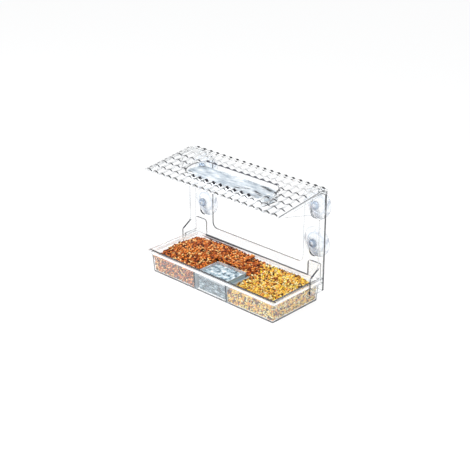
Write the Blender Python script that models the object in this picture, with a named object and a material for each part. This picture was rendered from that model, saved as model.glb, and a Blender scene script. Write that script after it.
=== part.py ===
"""A clear window bird feeder: a frame held on the glass by four suction cups carries a tiled roof with a
bath in it and a tray that slides out, with two beds of feed and a water dish that lifts out.

X runs along the feeder, +Y points at the window pane and Z is up. The tray stands on z = 0.
"""

import math

import bmesh
import bpy
from mathutils import Vector

MM = 0.001

# Clearances shared by every fit
SEAT_GAP = 0.3 * MM
SLIDE_GAP = 0.5 * MM
FEED_GAP = 0.4 * MM
BURY = 1 * MM
OVERRUN = 12 * MM

# Height of the eaves over the foot of the tray
ROOF_FRONT_Z = 185.5 * MM

# Tray: the outer size of its base, and how its walls and rim grow from it
TRAY_LENGTH = 274 * MM
TRAY_DEPTH = 109 * MM
TRAY_HEIGHT = 40 * MM
TRAY_WALL = 2 * MM
TRAY_DRAFT = 2.3 * MM
TRAY_CORNER = 2 * MM
TRAY_INNER_CORNER = 1 * MM
RIM_HEIGHT = 5 * MM
RIM_END_OVERHANG = 5 * MM
RIM_FRONT_OVERHANG = 4 * MM
RIM_REAR_OVERHANG = 1.2 * MM
RIM_CORNER = 3 * MM
DIVIDER_WALL = 2 * MM
DIVIDER_HEIGHT = 28.5 * MM
CENTRE_DIVIDER_HEIGHT = 37 * MM
EAR_WIDTH = 25.3 * MM
EAR_RISE = 28 * MM
EAR_WALL = 2.2 * MM
EAR_CORNER = 6 * MM
EAR_OUTER_CORNER = 2 * MM
EAR_END_INSET = 3 * MM

# Water dish standing between the dividers: its body where the lip starts, and what grows from it
DISH_LENGTH = 64.6 * MM
DISH_DEPTH = 48.6 * MM
DISH_HEIGHT = 31.7 * MM
DISH_WALL = 1.6 * MM
DISH_LIP = 1.2 * MM
DISH_LIP_HEIGHT = 2 * MM
DISH_DRAFT = 1.2 * MM
DISH_CORNER = 3 * MM
DISH_WATER_BELOW_LIP = 3.6 * MM
DISH_SIDE_CLEARANCE = 2.95 * MM

# Unevenness of the loose feed
LUMP_PITCH = 13 * MM
LUMP_HEIGHT = 1.8 * MM
FEED_CELL = 4.7 * MM

# Back frame: a plate with uprights and a crossbar, and a cheek along each side
PLATE_THICKNESS = 2.5 * MM
PLATE_BASE_Z = 20 * MM
CROSSBAR_TOP_Z = 57 * MM
UPRIGHT_WIDTH = 43.8 * MM
FRAME_CORNER = 10 * MM
CHEEK_WALL = 2 * MM
FLANGE_DEPTH = 12.6 * MM
LOWER_CHEEK_DEPTH = 31.6 * MM
LOWER_CHEEK_TOP_Z = 52 * MM
LOWER_CHEEK_SLOPE_TOP_Z = 63.5 * MM
CHEEK_CORNER = 5 * MM
GUSSET_DEPTH = 31.3 * MM
GUSSET_THROAT_DEPTH = 21.6 * MM
GUSSET_BASE_BELOW_EAVES = 37.5 * MM
GUSSET_THROAT_BELOW_EAVES = 32 * MM
GUSSET_FRONT_BELOW_EAVES = 22.5 * MM
GUSSET_PAD = 1.5 * MM
WEB_TIP_SETBACK = 4 * MM
WEB_TIP_HEIGHT = 1.2 * MM
LOWER_RAIL = 4.3 * MM
UPPER_RAIL = 3 * MM
RAIL_HEIGHT = 2 * MM
RAIL_CLEARANCE_TO_FRONT = 4 * MM
TONGUE_WIDTH = 14 * MM
TONGUE_RISE = 6.5 * MM

# Suction cups and the keyholes that hold them
CUP_RADIUS = 26 * MM
CUP_STAND_OFF = 6.9 * MM
CUP_SEAL_WIDTH = 4 * MM
CUP_EDGE = 0.7 * MM
CUP_WALL = 1.6 * MM
CUP_SHOULDER_RADIUS = 9 * MM
CUP_NECK_RADIUS = 3.7 * MM
CUP_HEAD_RADIUS = 7.5 * MM
CUP_HEAD_THICKNESS = 4.4 * MM
LOWER_CUP_Z = 98.5 * MM
UPPER_CUP_BELOW_EAVES = 20.5 * MM
KEYHOLE_DROP = 14 * MM
KEYHOLE_ENTRY_GAP = 1 * MM

# Roof: a moulded sheet of barrel tiles with a bath let into it
ROOF_DEPTH = 116.3 * MM
ROOF_REAR_OVERHANG = 0.9 * MM
ROOF_RISE = 12.9 * MM
ROOF_REAR_FALL = 2.4 * MM
RIDGE_TO_REAR = 13 * MM
ROOF_WALL = 2.2 * MM
ROOF_LIP_WALL = 1.6 * MM
ROOF_LIP_DEPTH = 6 * MM
ROOF_BORDER = 3.2 * MM
TILE_CROWN = 2.6 * MM
TILE_STEP = 1.6 * MM
TILE_RISER_RUN = 0.3 * MM
SOCKET_WALL = 2.2 * MM
SOCKET_GAP = 0.4 * MM
SOCKET_DEPTH = 6 * MM

# Bath in the roof
BATH_LENGTH = 184 * MM
BATH_WIDTH = 48 * MM
BATH_FROM_FRONT = 28.3 * MM
BATH_CORNER = 22 * MM
BATH_WALL = 2.2 * MM
BATH_LEDGE = 0.5 * MM
BATH_RIM_RISE = 0.6 * MM
BATH_DEPTH = 12 * MM
BATH_DRAFT = 3 * MM
BATH_WATER_BELOW_RIM = 1.5 * MM

# Counts
TILE_COLUMNS = 19
TILE_ROWS_TO_RIDGE = 6
TILE_ARCH_STEPS = 6
CORNER_STEPS = 5
BATH_CORNER_STEPS = 7
ROUND_STEPS = 28
HOLE_STEPS = 20

# Profile of a cup's skirt: radius as a share of the way from shoulder to edge, and height as a share of
# the way from the frame to the edge
CUP_SKIRT_SHARES = ((0.08, 0.12), (0.38, 0.34), (0.72, 0.66), (1.0, 0.9))
CUP_HOLLOW_SHARES = ((0.82, 0.16), (0.5, 0.4), (0.2, 0.55))
CUP_HEAD_SHARES = ((0.55, 0.0), (0.92, 0.28), (1.0, 0.6))

# Height of each heap of feed as a share of the tray's height, from its outer end to the middle of the
# tray in each row, with the rows running from the front wall to the rear wall
LEFT_HEAP_SHARES = ((0.70, 0.74, 0.72, 0.72), (0.84, 1.0, 0.97, 0.97), (0.76, 0.86, 0.9, 0.84))
RIGHT_HEAP_SHARES = ((0.72, 0.72, 0.6, 0.6), (0.76, 0.78, 0.66, 0.95), (0.74, 0.8, 0.78, 0.8))

# Tray and dish places worked out from their sizes
RIM_LENGTH = TRAY_LENGTH + 2 * (TRAY_DRAFT + RIM_END_OVERHANG)
RIM_DEPTH = RIM_REAR_OVERHANG + TRAY_DEPTH + TRAY_DRAFT + RIM_FRONT_OVERHANG
RIM_BASE_Z = TRAY_HEIGHT - RIM_HEIGHT

# The depth of the whole feeder, from the tray's rim to the pane
FEEDER_DEPTH = CUP_STAND_OFF + PLATE_THICKNESS + FEED_GAP + RIM_DEPTH
PANE_Y = FEEDER_DEPTH / 2
PLATE_BACK_Y = PANE_Y - CUP_STAND_OFF
PLATE_FRONT_Y = PLATE_BACK_Y - PLATE_THICKNESS
TRAY_REAR_Y = PLATE_FRONT_Y - FEED_GAP - RIM_REAR_OVERHANG
TRAY_FRONT_Y = TRAY_REAR_Y - TRAY_DEPTH
DISH_FRONT_Y = TRAY_FRONT_Y + TRAY_WALL + SLIDE_GAP + DISH_LIP
DISH_BASE_Z = TRAY_WALL + SEAT_GAP
DISH_TOP_Z = DISH_BASE_Z + DISH_HEIGHT
DIVIDER_SPACING = DISH_LENGTH + 2 * DISH_SIDE_CLEARANCE + DIVIDER_WALL
CROSS_WALL_Y = DISH_FRONT_Y + DISH_DEPTH + SEAT_GAP + DIVIDER_WALL / 2

# The frame is as wide as the rim that slides in it, and the roof as wide as the frame
CHEEK_INNER_X = RIM_LENGTH / 2 + SLIDE_GAP
CHEEK_OUTER_X = CHEEK_INNER_X + CHEEK_WALL
UPRIGHT_INNER_X = CHEEK_OUTER_X - UPRIGHT_WIDTH
UPRIGHT_CENTRE_X = CHEEK_OUTER_X - UPRIGHT_WIDTH / 2
ROOF_HALF_LENGTH = CHEEK_OUTER_X + SEAT_GAP + ROOF_LIP_WALL
ROOF_REAR_Y = PLATE_BACK_Y + ROOF_REAR_OVERHANG
ROOF_FRONT_Y = ROOF_REAR_Y - ROOF_DEPTH
RIDGE_Y = ROOF_REAR_Y - RIDGE_TO_REAR
FIRST_RIB_X = -ROOF_HALF_LENGTH + ROOF_BORDER
TILE_PITCH = -2 * FIRST_RIB_X / TILE_COLUMNS
BATH_FRONT_Y = ROOF_FRONT_Y + BATH_FROM_FRONT
GUSSET_BASE_Z = ROOF_FRONT_Z - GUSSET_BASE_BELOW_EAVES
GUSSET_THROAT_Z = ROOF_FRONT_Z - GUSSET_THROAT_BELOW_EAVES
GUSSET_FRONT_Z = ROOF_FRONT_Z - GUSSET_FRONT_BELOW_EAVES
UPPER_CUP_Z = ROOF_FRONT_Z - UPPER_CUP_BELOW_EAVES
CUP_PLACES = {
    "suction_cup_upper_left": (-UPRIGHT_CENTRE_X, UPPER_CUP_Z),
    "suction_cup_upper_right": (UPRIGHT_CENTRE_X, UPPER_CUP_Z),
    "suction_cup_lower_left": (-UPRIGHT_CENTRE_X, LOWER_CUP_Z),
    "suction_cup_lower_right": (UPRIGHT_CENTRE_X, LOWER_CUP_Z),
}


def clear_scene():
    """Empties the scene before anything is modelled."""
    for old in list(bpy.data.objects):
        bpy.data.objects.remove(old, do_unlink=True)


def make_material(name, colour, roughness, alpha=1.0, ior=1.49):
    """A Principled material with the given colour, gloss and see-through share."""
    material = bpy.data.materials.new(name)
    material.use_nodes = True
    shader = material.node_tree.nodes["Principled BSDF"]
    shader.inputs["Base Color"].default_value = (*colour, 1.0)
    shader.inputs["Roughness"].default_value = roughness
    shader.inputs["Metallic"].default_value = 0.0
    shader.inputs["IOR"].default_value = ior
    shader.inputs["Alpha"].default_value = alpha
    material.diffuse_color = (*colour, alpha)
    return material


def rounded_outline(points, radii, steps=CORNER_STEPS):
    """The outline through the points, with an arc of its own radius at each corner."""
    outline = []
    for index, corner in enumerate(points):
        here = Vector(corner)
        back = (Vector(points[index - 1]) - here).normalized()
        ahead = (Vector(points[(index + 1) % len(points)]) - here).normalized()
        radius = radii[index]
        if radius == 0:
            outline.append(here)
            continue
        half = back.angle(ahead) / 2
        centre = here + (back + ahead).normalized() * (radius / math.sin(half))
        start = here + back * (radius / math.tan(half)) - centre
        end = here + ahead * (radius / math.tan(half)) - centre
        sweep = start.angle_signed(end)
        for step in range(steps + 1):
            turn = -sweep * step / steps
            turned = Vector((
                start.x * math.cos(turn) - start.y * math.sin(turn),
                start.x * math.sin(turn) + start.y * math.cos(turn),
            ))
            outline.append(centre + turned)
    return outline


def rectangle(left, right, front, rear, corner, steps=CORNER_STEPS):
    """A rounded rectangle seen from above."""
    points = ((left, front), (right, front), (right, rear), (left, rear))
    return rounded_outline(points, (corner,) * len(points), steps)


def arc(centre_x, centre_z, radius, first, last, steps):
    """Points along an arc, with its angles in degrees."""
    points = []
    for step in range(steps + 1):
        angle = math.radians(first + (last - first) * step / steps)
        points.append((centre_x + radius * math.cos(angle), centre_z + radius * math.sin(angle)))
    return points


def add_loft(mesh, loops):
    """Adds a closed solid whose skin runs through the loops in turn, capped at both ends."""
    rings = [[mesh.verts.new(point) for point in loop] for loop in loops]
    for lower, upper in zip(rings, rings[1:]):
        count = len(lower)
        for index in range(count):
            following = (index + 1) % count
            mesh.faces.new((lower[index], lower[following], upper[following], upper[index]))
    mesh.faces.new(list(reversed(rings[0])))
    mesh.faces.new(rings[-1])


def add_prism(mesh, outline, place, first, last):
    """Adds the outline swept straight from one place to another; place maps u, v and depth to a point."""
    add_loft(mesh, [[place(u, v, depth) for u, v in outline] for depth in (first, last)])


def along_x(y, z, x):
    return (x, y, z)


def along_y(x, z, y):
    return (x, y, z)


def along_z(x, y, z):
    return (x, y, z)


def add_box(mesh, low, high):
    """Adds a plain block between two corners."""
    outline = ((low[0], low[1]), (high[0], low[1]), (high[0], high[1]), (low[0], high[1]))
    add_prism(mesh, outline, along_z, low[2], high[2])


def add_revolve(mesh, profile, place, steps):
    """Adds a solid of revolution; the profile's first and last points lie on the axis."""
    ends = [mesh.verts.new(place(0, 0, profile[end][1])) for end in (0, -1)]
    rings = []
    for radius, depth in profile[1:-1]:
        ring = []
        for step in range(steps):
            angle = math.tau * step / steps
            ring.append(mesh.verts.new(place(radius * math.cos(angle), radius * math.sin(angle), depth)))
        rings.append(ring)
    for index in range(steps):
        following = (index + 1) % steps
        mesh.faces.new((ends[0], rings[0][following], rings[0][index]))
        mesh.faces.new((ends[1], rings[-1][index], rings[-1][following]))
        for lower, upper in zip(rings, rings[1:]):
            mesh.faces.new((lower[index], lower[following], upper[following], upper[index]))


def finish_solid(name, mesh, material=None, origin=(0, 0, 0)):
    """Turns the working mesh into an object with outward faces and its origin at the given place."""
    bmesh.ops.recalc_face_normals(mesh, faces=mesh.faces)
    bmesh.ops.translate(mesh, verts=mesh.verts, vec=-Vector(origin))
    data = bpy.data.meshes.new(name)
    mesh.to_mesh(data)
    mesh.free()
    solid = bpy.data.objects.new(name, data)
    solid.location = origin
    bpy.context.scene.collection.objects.link(solid)
    if material is not None:
        data.materials.append(material)
    return solid


def combine(solid, others, operation):
    """Applies a Boolean with each of the other solids in turn, and removes them."""
    for other in others:
        modifier = solid.modifiers.new(operation.lower(), "BOOLEAN")
        modifier.operation = operation
        modifier.solver = "EXACT"
        modifier.object = other
        other.hide_render = True
        other.display_type = "WIRE"
        bpy.context.view_layer.update()
        shaped = solid.evaluated_get(bpy.context.evaluated_depsgraph_get())
        old = solid.data
        solid.data = bpy.data.meshes.new_from_object(shaped)
        solid.modifiers.remove(modifier)
        bpy.data.meshes.remove(old)
        bpy.data.objects.remove(other, do_unlink=True)


def shade(solid, sharp_degrees=35):
    """Shades round faces smooth and keeps the edges that turn further than the given angle."""
    solid.data.name = solid.name
    for polygon in solid.data.polygons:
        polygon.use_smooth = True
    solid.data.set_sharp_from_angle(angle=math.radians(sharp_degrees))


def tray_wall_shift(z):
    """How far the tray's end and front walls lean out at a height."""
    return TRAY_DRAFT * z / RIM_BASE_Z


def tray_loop(grow_x, grow_front, grow_rear, z, corner):
    """One level outline of the tray, grown from its base."""
    half = TRAY_LENGTH / 2 + grow_x
    outline = rectangle(-half, half, TRAY_FRONT_Y - grow_front, TRAY_REAR_Y + grow_rear, corner)
    return [(x, y, z) for x, y in outline]


def make_tray(material):
    """The sliding tray: a drafted tub with a rim, dividers and two grip ears at its rear corners."""
    shell = bmesh.new()
    lean = TRAY_DRAFT
    rim_grow = (lean + RIM_END_OVERHANG, lean + RIM_FRONT_OVERHANG, RIM_REAR_OVERHANG)
    inner_base_lean = tray_wall_shift(TRAY_WALL) - TRAY_WALL
    add_loft(shell, (
        tray_loop(0, 0, 0, 0, TRAY_CORNER),
        tray_loop(lean, lean, 0, RIM_BASE_Z, TRAY_CORNER),
        tray_loop(*rim_grow, RIM_BASE_Z, RIM_CORNER),
        tray_loop(*rim_grow, TRAY_HEIGHT, RIM_CORNER),
        tray_loop(lean - TRAY_WALL, lean - TRAY_WALL, -TRAY_WALL, TRAY_HEIGHT, TRAY_INNER_CORNER),
        tray_loop(inner_base_lean, inner_base_lean, -TRAY_WALL, TRAY_WALL, TRAY_INNER_CORNER),
    ))
    tray = finish_solid("tray", shell, material)

    bury = BURY
    half_wall = DIVIDER_WALL / 2
    side = DIVIDER_SPACING / 2
    low = TRAY_WALL - bury
    added = []
    for centre in (-side, side):
        divider = bmesh.new()
        front = TRAY_FRONT_Y + bury
        add_box(
            divider,
            (centre - half_wall, front, low),
            (centre + half_wall, CROSS_WALL_Y + half_wall, DIVIDER_HEIGHT),
        )
        added.append(finish_solid("divider", divider))
    cross = bmesh.new()
    add_box(
        cross,
        (-side, CROSS_WALL_Y - half_wall, low),
        (side, CROSS_WALL_Y + half_wall, DIVIDER_HEIGHT),
    )
    added.append(finish_solid("cross_wall", cross))
    centre = bmesh.new()
    add_box(
        centre,
        (-half_wall, CROSS_WALL_Y + SLIDE_GAP, low),
        (half_wall, TRAY_REAR_Y - bury, CENTRE_DIVIDER_HEIGHT),
    )
    added.append(finish_solid("centre_divider", centre))
    ear_outer = RIM_LENGTH / 2 - EAR_END_INSET
    ear_back = TRAY_REAR_Y + RIM_REAR_OVERHANG - SEAT_GAP
    for side_sign in (-1, 1):
        ear = bmesh.new()
        corners = (
            (side_sign * (ear_outer - EAR_WIDTH), TRAY_HEIGHT - bury),
            (side_sign * ear_outer, TRAY_HEIGHT - bury),
            (side_sign * ear_outer, TRAY_HEIGHT + EAR_RISE),
            (side_sign * (ear_outer - EAR_WIDTH), TRAY_HEIGHT + EAR_RISE),
        )
        outline = rounded_outline(corners, (0, 0, EAR_OUTER_CORNER, EAR_CORNER))
        add_prism(ear, outline, along_y, ear_back - EAR_WALL, ear_back)
        added.append(finish_solid("ear", ear))
    combine(tray, added, "UNION")
    shade(tray)
    return tray


def dish_loop(grow, z, corner):
    """One level outline of the water dish, grown from its body where the lip starts."""
    half = DISH_LENGTH / 2 + grow
    rear = DISH_FRONT_Y + DISH_DEPTH + grow
    return [(x, y, z) for x, y in rectangle(-half, half, DISH_FRONT_Y - grow, rear, corner)]


def make_water_dish(material):
    """The dish: a drafted cup with a small lip, standing on the tray's floor between the dividers."""
    mesh = bmesh.new()
    lip_z = DISH_TOP_Z - DISH_LIP_HEIGHT
    lip_corner = DISH_CORNER + DISH_LIP
    inner_corner = DISH_CORNER - DISH_WALL
    add_loft(mesh, (
        dish_loop(-DISH_DRAFT, DISH_BASE_Z, DISH_CORNER),
        dish_loop(0, lip_z, DISH_CORNER),
        dish_loop(DISH_LIP, lip_z, lip_corner),
        dish_loop(DISH_LIP, DISH_TOP_Z, lip_corner),
        dish_loop(-DISH_WALL, DISH_TOP_Z, inner_corner),
        dish_loop(-DISH_DRAFT - DISH_WALL, DISH_BASE_Z + DISH_WALL, inner_corner),
    ))
    dish = finish_solid("water_dish", mesh, material)
    shade(dish)
    return dish


def make_dish_water(material):
    """The water standing in the dish."""
    mesh = bmesh.new()
    floor_z = DISH_BASE_Z + DISH_WALL
    water_z = DISH_TOP_Z - DISH_WATER_BELOW_LIP
    wall_share = (water_z - floor_z) / (DISH_TOP_Z - floor_z)
    inset = DISH_WALL + SEAT_GAP
    corner = DISH_CORNER - inset
    add_loft(mesh, (
        dish_loop(-DISH_DRAFT - inset, floor_z + SEAT_GAP, corner),
        dish_loop(-DISH_DRAFT * (1 - wall_share) - inset, water_z, corner),
    ))
    water = finish_solid("dish_water", mesh, material)
    shade(water)
    return water


def heap_height(shares, across, along):
    """Smoothly blends a heap's table of heights; across runs to the middle, along runs to the rear."""
    rows = len(shares) - 1
    columns = len(shares[0]) - 1
    column = min(int(across * columns), columns - 1)
    row = min(int(along * rows), rows - 1)
    ease_x = across * columns - column
    ease_y = along * rows - row
    ease_x = ease_x * ease_x * (3 - 2 * ease_x)
    ease_y = ease_y * ease_y * (3 - 2 * ease_y)
    front = shares[row][column] * (1 - ease_x) + shares[row][column + 1] * ease_x
    rear = shares[row + 1][column] * (1 - ease_x) + shares[row + 1][column + 1] * ease_x
    return TRAY_HEIGHT * (front * (1 - ease_y) + rear * ease_y)


def lump(x, y):
    """How far loose feed stands above or below its smooth heap at a place."""
    across = math.sin(math.tau * x / LUMP_PITCH + math.sin(y / LUMP_PITCH))
    along = math.sin(math.tau * y / LUMP_PITCH + math.sin(x / LUMP_PITCH))
    return LUMP_HEIGHT / 2 * across * along


def spread(first, last):
    """Evenly spaced places from first to last, no further apart than a cell of feed."""
    cells = math.ceil(abs(last - first) / FEED_CELL)
    return [first + (last - first) * step / cells for step in range(cells + 1)]


def bed_border(dish_column, cross_row, middle_column, rear_row):
    """The spots round an L of cells: past the dish on two sides, and round the outer corner."""
    spots = [(column, 0) for column in range(dish_column)]
    spots += [(dish_column, row) for row in range(cross_row)]
    spots += [(column, cross_row) for column in range(dish_column, middle_column)]
    spots += [(middle_column, row) for row in range(cross_row, rear_row)]
    spots += [(column, rear_row) for column in range(middle_column, 0, -1)]
    spots += [(0, row) for row in range(rear_row, 0, -1)]
    return spots


def make_feed_bed(name, side_sign, shares, material):
    """A heap of feed that fills the L of tray around the dish, with its top drawn through the table."""
    inner_lean = tray_wall_shift(TRAY_WALL)
    outer_x = TRAY_LENGTH / 2 + inner_lean - TRAY_WALL - FEED_GAP
    dish_x = DIVIDER_SPACING / 2 + DIVIDER_WALL / 2 + FEED_GAP
    middle_x = DIVIDER_WALL / 2 + FEED_GAP
    front_y = TRAY_FRONT_Y - inner_lean + TRAY_WALL + FEED_GAP
    cross_y = CROSS_WALL_Y + DIVIDER_WALL / 2 + FEED_GAP
    rear_y = TRAY_REAR_Y - TRAY_WALL - FEED_GAP
    base_z = TRAY_WALL + SEAT_GAP
    corner_tuck = TRAY_INNER_CORNER * (1 - math.sqrt(0.5))
    columns = spread(outer_x, dish_x)
    dish_column = len(columns) - 1
    columns += spread(dish_x, middle_x)[1:]
    middle_column = len(columns) - 1
    rows = spread(front_y, cross_y)
    cross_row = len(rows) - 1
    rows += spread(cross_y, rear_y)[1:]
    rear_row = len(rows) - 1

    mesh = bmesh.new()
    made = {}

    def corner(column, row, top):
        key = (column, row, top)
        if key not in made:
            x = columns[column]
            y = rows[row]
            z = base_z
            if top:
                across = (outer_x - x) / (outer_x - middle_x)
                z = heap_height(shares, across, (y - front_y) / (rear_y - front_y)) + lump(x, y)
            lean = tray_wall_shift(z) - inner_lean
            if column == 0:
                x += lean
            if row == 0:
                y -= lean
            if column == 0 and row in (0, rear_row):
                x -= corner_tuck
                y += corner_tuck if row == 0 else -corner_tuck
            made[key] = mesh.verts.new((side_sign * x, y, z))
        return made[key]

    for column in range(middle_column):
        for row in range(rear_row):
            if column >= dish_column and row < cross_row:
                continue
            cell = ((column, row), (column + 1, row), (column + 1, row + 1), (column, row + 1))
            mesh.faces.new([corner(*spot, True) for spot in cell])
    border = bed_border(dish_column, cross_row, middle_column, rear_row)
    for index, spot in enumerate(border):
        before = border[index - 1]
        side = ((before, False), (spot, False), (spot, True), (before, True))
        mesh.faces.new([corner(*place, top) for place, top in side])
    mesh.faces.new([corner(*spot, False) for spot in reversed(border)])
    bed = finish_solid(name, mesh, material)
    shade(bed)
    return bed


def keyhole_outline(centre_x, seat_z):
    """The keyhole that a cup hangs in: a slot that ends at its seat, over a round entry hole."""
    slot = CUP_NECK_RADIUS + SEAT_GAP
    entry = CUP_HEAD_RADIUS + KEYHOLE_ENTRY_GAP
    entry_z = seat_z - KEYHOLE_DROP
    meet = math.degrees(math.acos(slot / entry))
    outline = arc(centre_x, seat_z, slot, 0, 180, HOLE_STEPS // 2)
    outline += arc(centre_x, entry_z, entry, 180 - meet, 360 + meet, HOLE_STEPS)
    return outline


def roof_base(y):
    """Height of the roof's plain surface, without its tiles, at a depth."""
    if y <= RIDGE_Y:
        return ROOF_FRONT_Z + ROOF_RISE * (y - ROOF_FRONT_Y) / (RIDGE_Y - ROOF_FRONT_Y)
    return ROOF_FRONT_Z + ROOF_RISE - ROOF_REAR_FALL * (y - RIDGE_Y) / RIDGE_TO_REAR


def frame_top(y):
    """Highest place that the frame reaches under the roof at a depth."""
    return roof_base(y) - ROOF_WALL - SEAT_GAP


def upright_top():
    """Height of the uprights' shoulders, which their tongues rise from."""
    return frame_top(PLATE_BACK_Y) - TONGUE_RISE


def make_plate():
    """The frame's flat plate: two uprights joined by a crossbar, each upright with a tongue on top."""
    inner = UPRIGHT_INNER_X
    outer = CHEEK_OUTER_X - CHEEK_WALL / 2
    shoulder = upright_top()
    tip = frame_top(PLATE_BACK_Y)
    near = UPRIGHT_CENTRE_X - TONGUE_WIDTH / 2
    far = UPRIGHT_CENTRE_X + TONGUE_WIDTH / 2
    right = (
        (outer, PLATE_BASE_Z), (outer, shoulder), (far, shoulder), (far, tip),
        (near, tip), (near, shoulder), (inner, shoulder), (inner, CROSSBAR_TOP_Z),
    )
    radii = (0, 0, 0, DIVIDER_WALL / 2, DIVIDER_WALL / 2, 0, 0, FRAME_CORNER)
    left = [(-x, z) for x, z in reversed(right)]
    outline = rounded_outline(right + tuple(left), radii + tuple(reversed(radii)))
    mesh = bmesh.new()
    add_prism(mesh, outline, along_y, PLATE_FRONT_Y, PLATE_BACK_Y)
    return mesh


def cheek_outline():
    """Side view of a cheek: a foot beside the tray, a slim flange, and a gusset and web under the roof."""
    rear = PLATE_BACK_Y
    flange = PLATE_FRONT_Y - FLANGE_DEPTH
    foot = PLATE_FRONT_Y - LOWER_CHEEK_DEPTH
    throat = PLATE_FRONT_Y - GUSSET_THROAT_DEPTH
    gusset = PLATE_FRONT_Y - GUSSET_DEPTH
    tip = ROOF_FRONT_Y + WEB_TIP_SETBACK
    points = (
        (rear, PLATE_BASE_Z), (rear, frame_top(rear)), (RIDGE_Y, frame_top(RIDGE_Y)), (tip, frame_top(tip)),
        (tip, frame_top(tip) - WEB_TIP_HEIGHT), (gusset, GUSSET_FRONT_Z), (throat, GUSSET_THROAT_Z),
        (flange, GUSSET_BASE_Z), (flange, LOWER_CHEEK_SLOPE_TOP_Z), (foot, LOWER_CHEEK_TOP_Z),
        (foot, PLATE_BASE_Z),
    )
    soft = CHEEK_CORNER
    radii = (0, 0, 0, 0, 0, soft, soft, soft, soft, soft, soft)
    return rounded_outline(points, radii)


def gusset_outline():
    """Side view of the thicker pad on the inside of each gusset."""
    throat = PLATE_FRONT_Y - GUSSET_THROAT_DEPTH
    gusset = PLATE_FRONT_Y - GUSSET_DEPTH
    flange = PLATE_FRONT_Y - FLANGE_DEPTH
    rear = PLATE_FRONT_Y + BURY
    rear_top = frame_top(PLATE_BACK_Y) - GUSSET_PAD
    points = (
        (rear, GUSSET_BASE_Z), (rear, rear_top), (RIDGE_Y, rear_top), (gusset, frame_top(gusset) - GUSSET_PAD),
        (gusset, GUSSET_FRONT_Z), (throat, GUSSET_THROAT_Z), (flange, GUSSET_BASE_Z),
    )
    soft = CHEEK_CORNER
    return rounded_outline(points, (0, 0, 0, 0, soft, soft, soft))


def make_back_frame(material):
    """The frame that hangs on the cups and carries the roof and the tray."""
    frame = finish_solid("back_frame", make_plate(), material)
    added = []
    rail_rear = PLATE_FRONT_Y + BURY
    rail_front = PLATE_FRONT_Y - LOWER_CHEEK_DEPTH + RAIL_CLEARANCE_TO_FRONT
    lower_top = RIM_BASE_Z - SEAT_GAP
    upper_base = TRAY_HEIGHT + SEAT_GAP
    for side_sign in (-1, 1):
        cheek = bmesh.new()
        add_prism(cheek, cheek_outline(), along_x, side_sign * CHEEK_INNER_X, side_sign * CHEEK_OUTER_X)
        added.append(finish_solid("cheek", cheek))
        pad = bmesh.new()
        pad_inner = CHEEK_INNER_X - GUSSET_PAD
        add_prism(pad, gusset_outline(), along_x, side_sign * pad_inner, side_sign * (CHEEK_INNER_X + BURY))
        added.append(finish_solid("gusset", pad))
        rails = bmesh.new()
        for inward, low in ((LOWER_RAIL, lower_top - RAIL_HEIGHT), (UPPER_RAIL, upper_base)):
            ends = sorted((side_sign * (CHEEK_INNER_X - inward), side_sign * (CHEEK_INNER_X + BURY)))
            add_box(rails, (ends[0], rail_front, low), (ends[1], rail_rear, low + RAIL_HEIGHT))
        added.append(finish_solid("rails", rails))
    combine(frame, added, "UNION")
    holes = bmesh.new()
    for centre_x, seat_z in CUP_PLACES.values():
        add_prism(
            holes, keyhole_outline(centre_x, seat_z), along_y,
            PLATE_FRONT_Y - BURY, PLATE_BACK_Y + BURY,
        )
    combine(frame, [finish_solid("keyholes", holes)], "DIFFERENCE")
    shade(frame)
    return frame


def make_suction_cup(name, centre_x, centre_z, material):
    """A soft cup turned about the line through its keyhole, with a button in front of the plate."""
    head_back = PLATE_FRONT_Y - SEAT_GAP
    head_front = head_back - CUP_HEAD_THICKNESS
    shoulder = PLATE_BACK_Y + SEAT_GAP
    drop = PANE_Y - shoulder
    flare = CUP_RADIUS - CUP_SHOULDER_RADIUS
    seal = CUP_RADIUS - CUP_SEAL_WIDTH
    hollow = drop - CUP_WALL
    profile = [(0, head_front)]
    profile += [(CUP_HEAD_RADIUS * out, head_front + CUP_HEAD_THICKNESS * deep) for out, deep in CUP_HEAD_SHARES]
    profile += [(CUP_HEAD_RADIUS, head_back), (CUP_NECK_RADIUS, head_back)]
    profile += [(CUP_NECK_RADIUS, shoulder), (CUP_SHOULDER_RADIUS, shoulder)]
    profile += [(CUP_SHOULDER_RADIUS + flare * out, shoulder + drop * deep) for out, deep in CUP_SKIRT_SHARES]
    profile += [(CUP_RADIUS, PANE_Y - CUP_EDGE / 2), (CUP_RADIUS - CUP_EDGE / 2, PANE_Y), (seal, PANE_Y)]
    profile += [(seal * out, PANE_Y - hollow * deep) for out, deep in CUP_HOLLOW_SHARES]
    profile += [(0, PANE_Y - hollow * CUP_HOLLOW_SHARES[-1][1])]
    mesh = bmesh.new()

    def place(side, up, depth):
        return (centre_x + side, depth, centre_z + up)

    add_revolve(mesh, profile, place, ROUND_STEPS)
    cup = finish_solid(name, mesh, material, (centre_x, PLATE_BACK_Y, centre_z))
    shade(cup)
    return cup


def tile_arch(x):
    """How high the barrels arch at a place along X; each starts and ends at the sheet's plain surface."""
    return TILE_CROWN * (1 - math.cos(math.tau * (x - FIRST_RIB_X) / TILE_PITCH)) / 2


def tile_lines():
    """Places of the tile sheet's lines along X, each with how high the barrels arch there."""
    steps = TILE_COLUMNS * TILE_ARCH_STEPS
    places = [FIRST_RIB_X + TILE_PITCH * step / TILE_ARCH_STEPS for step in range(steps + 1)]
    return [(x, tile_arch(x)) for x in places]


def tile_stations():
    """Depths at which the tile sheet changes: each row starts a step up and runs down to nothing."""
    pitch = (RIDGE_Y - ROOF_FRONT_Y) / TILE_ROWS_TO_RIDGE
    starts = [ROOF_FRONT_Y + pitch * row for row in range(TILE_ROWS_TO_RIDGE + 1)]
    stations = []
    for row, start in enumerate(starts):
        last = row == TILE_ROWS_TO_RIDGE
        end = ROOF_REAR_Y if last else starts[row + 1] - TILE_RISER_RUN
        stations.append((start, TILE_STEP))
        stations.append((end, 0))
    return stations


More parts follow.
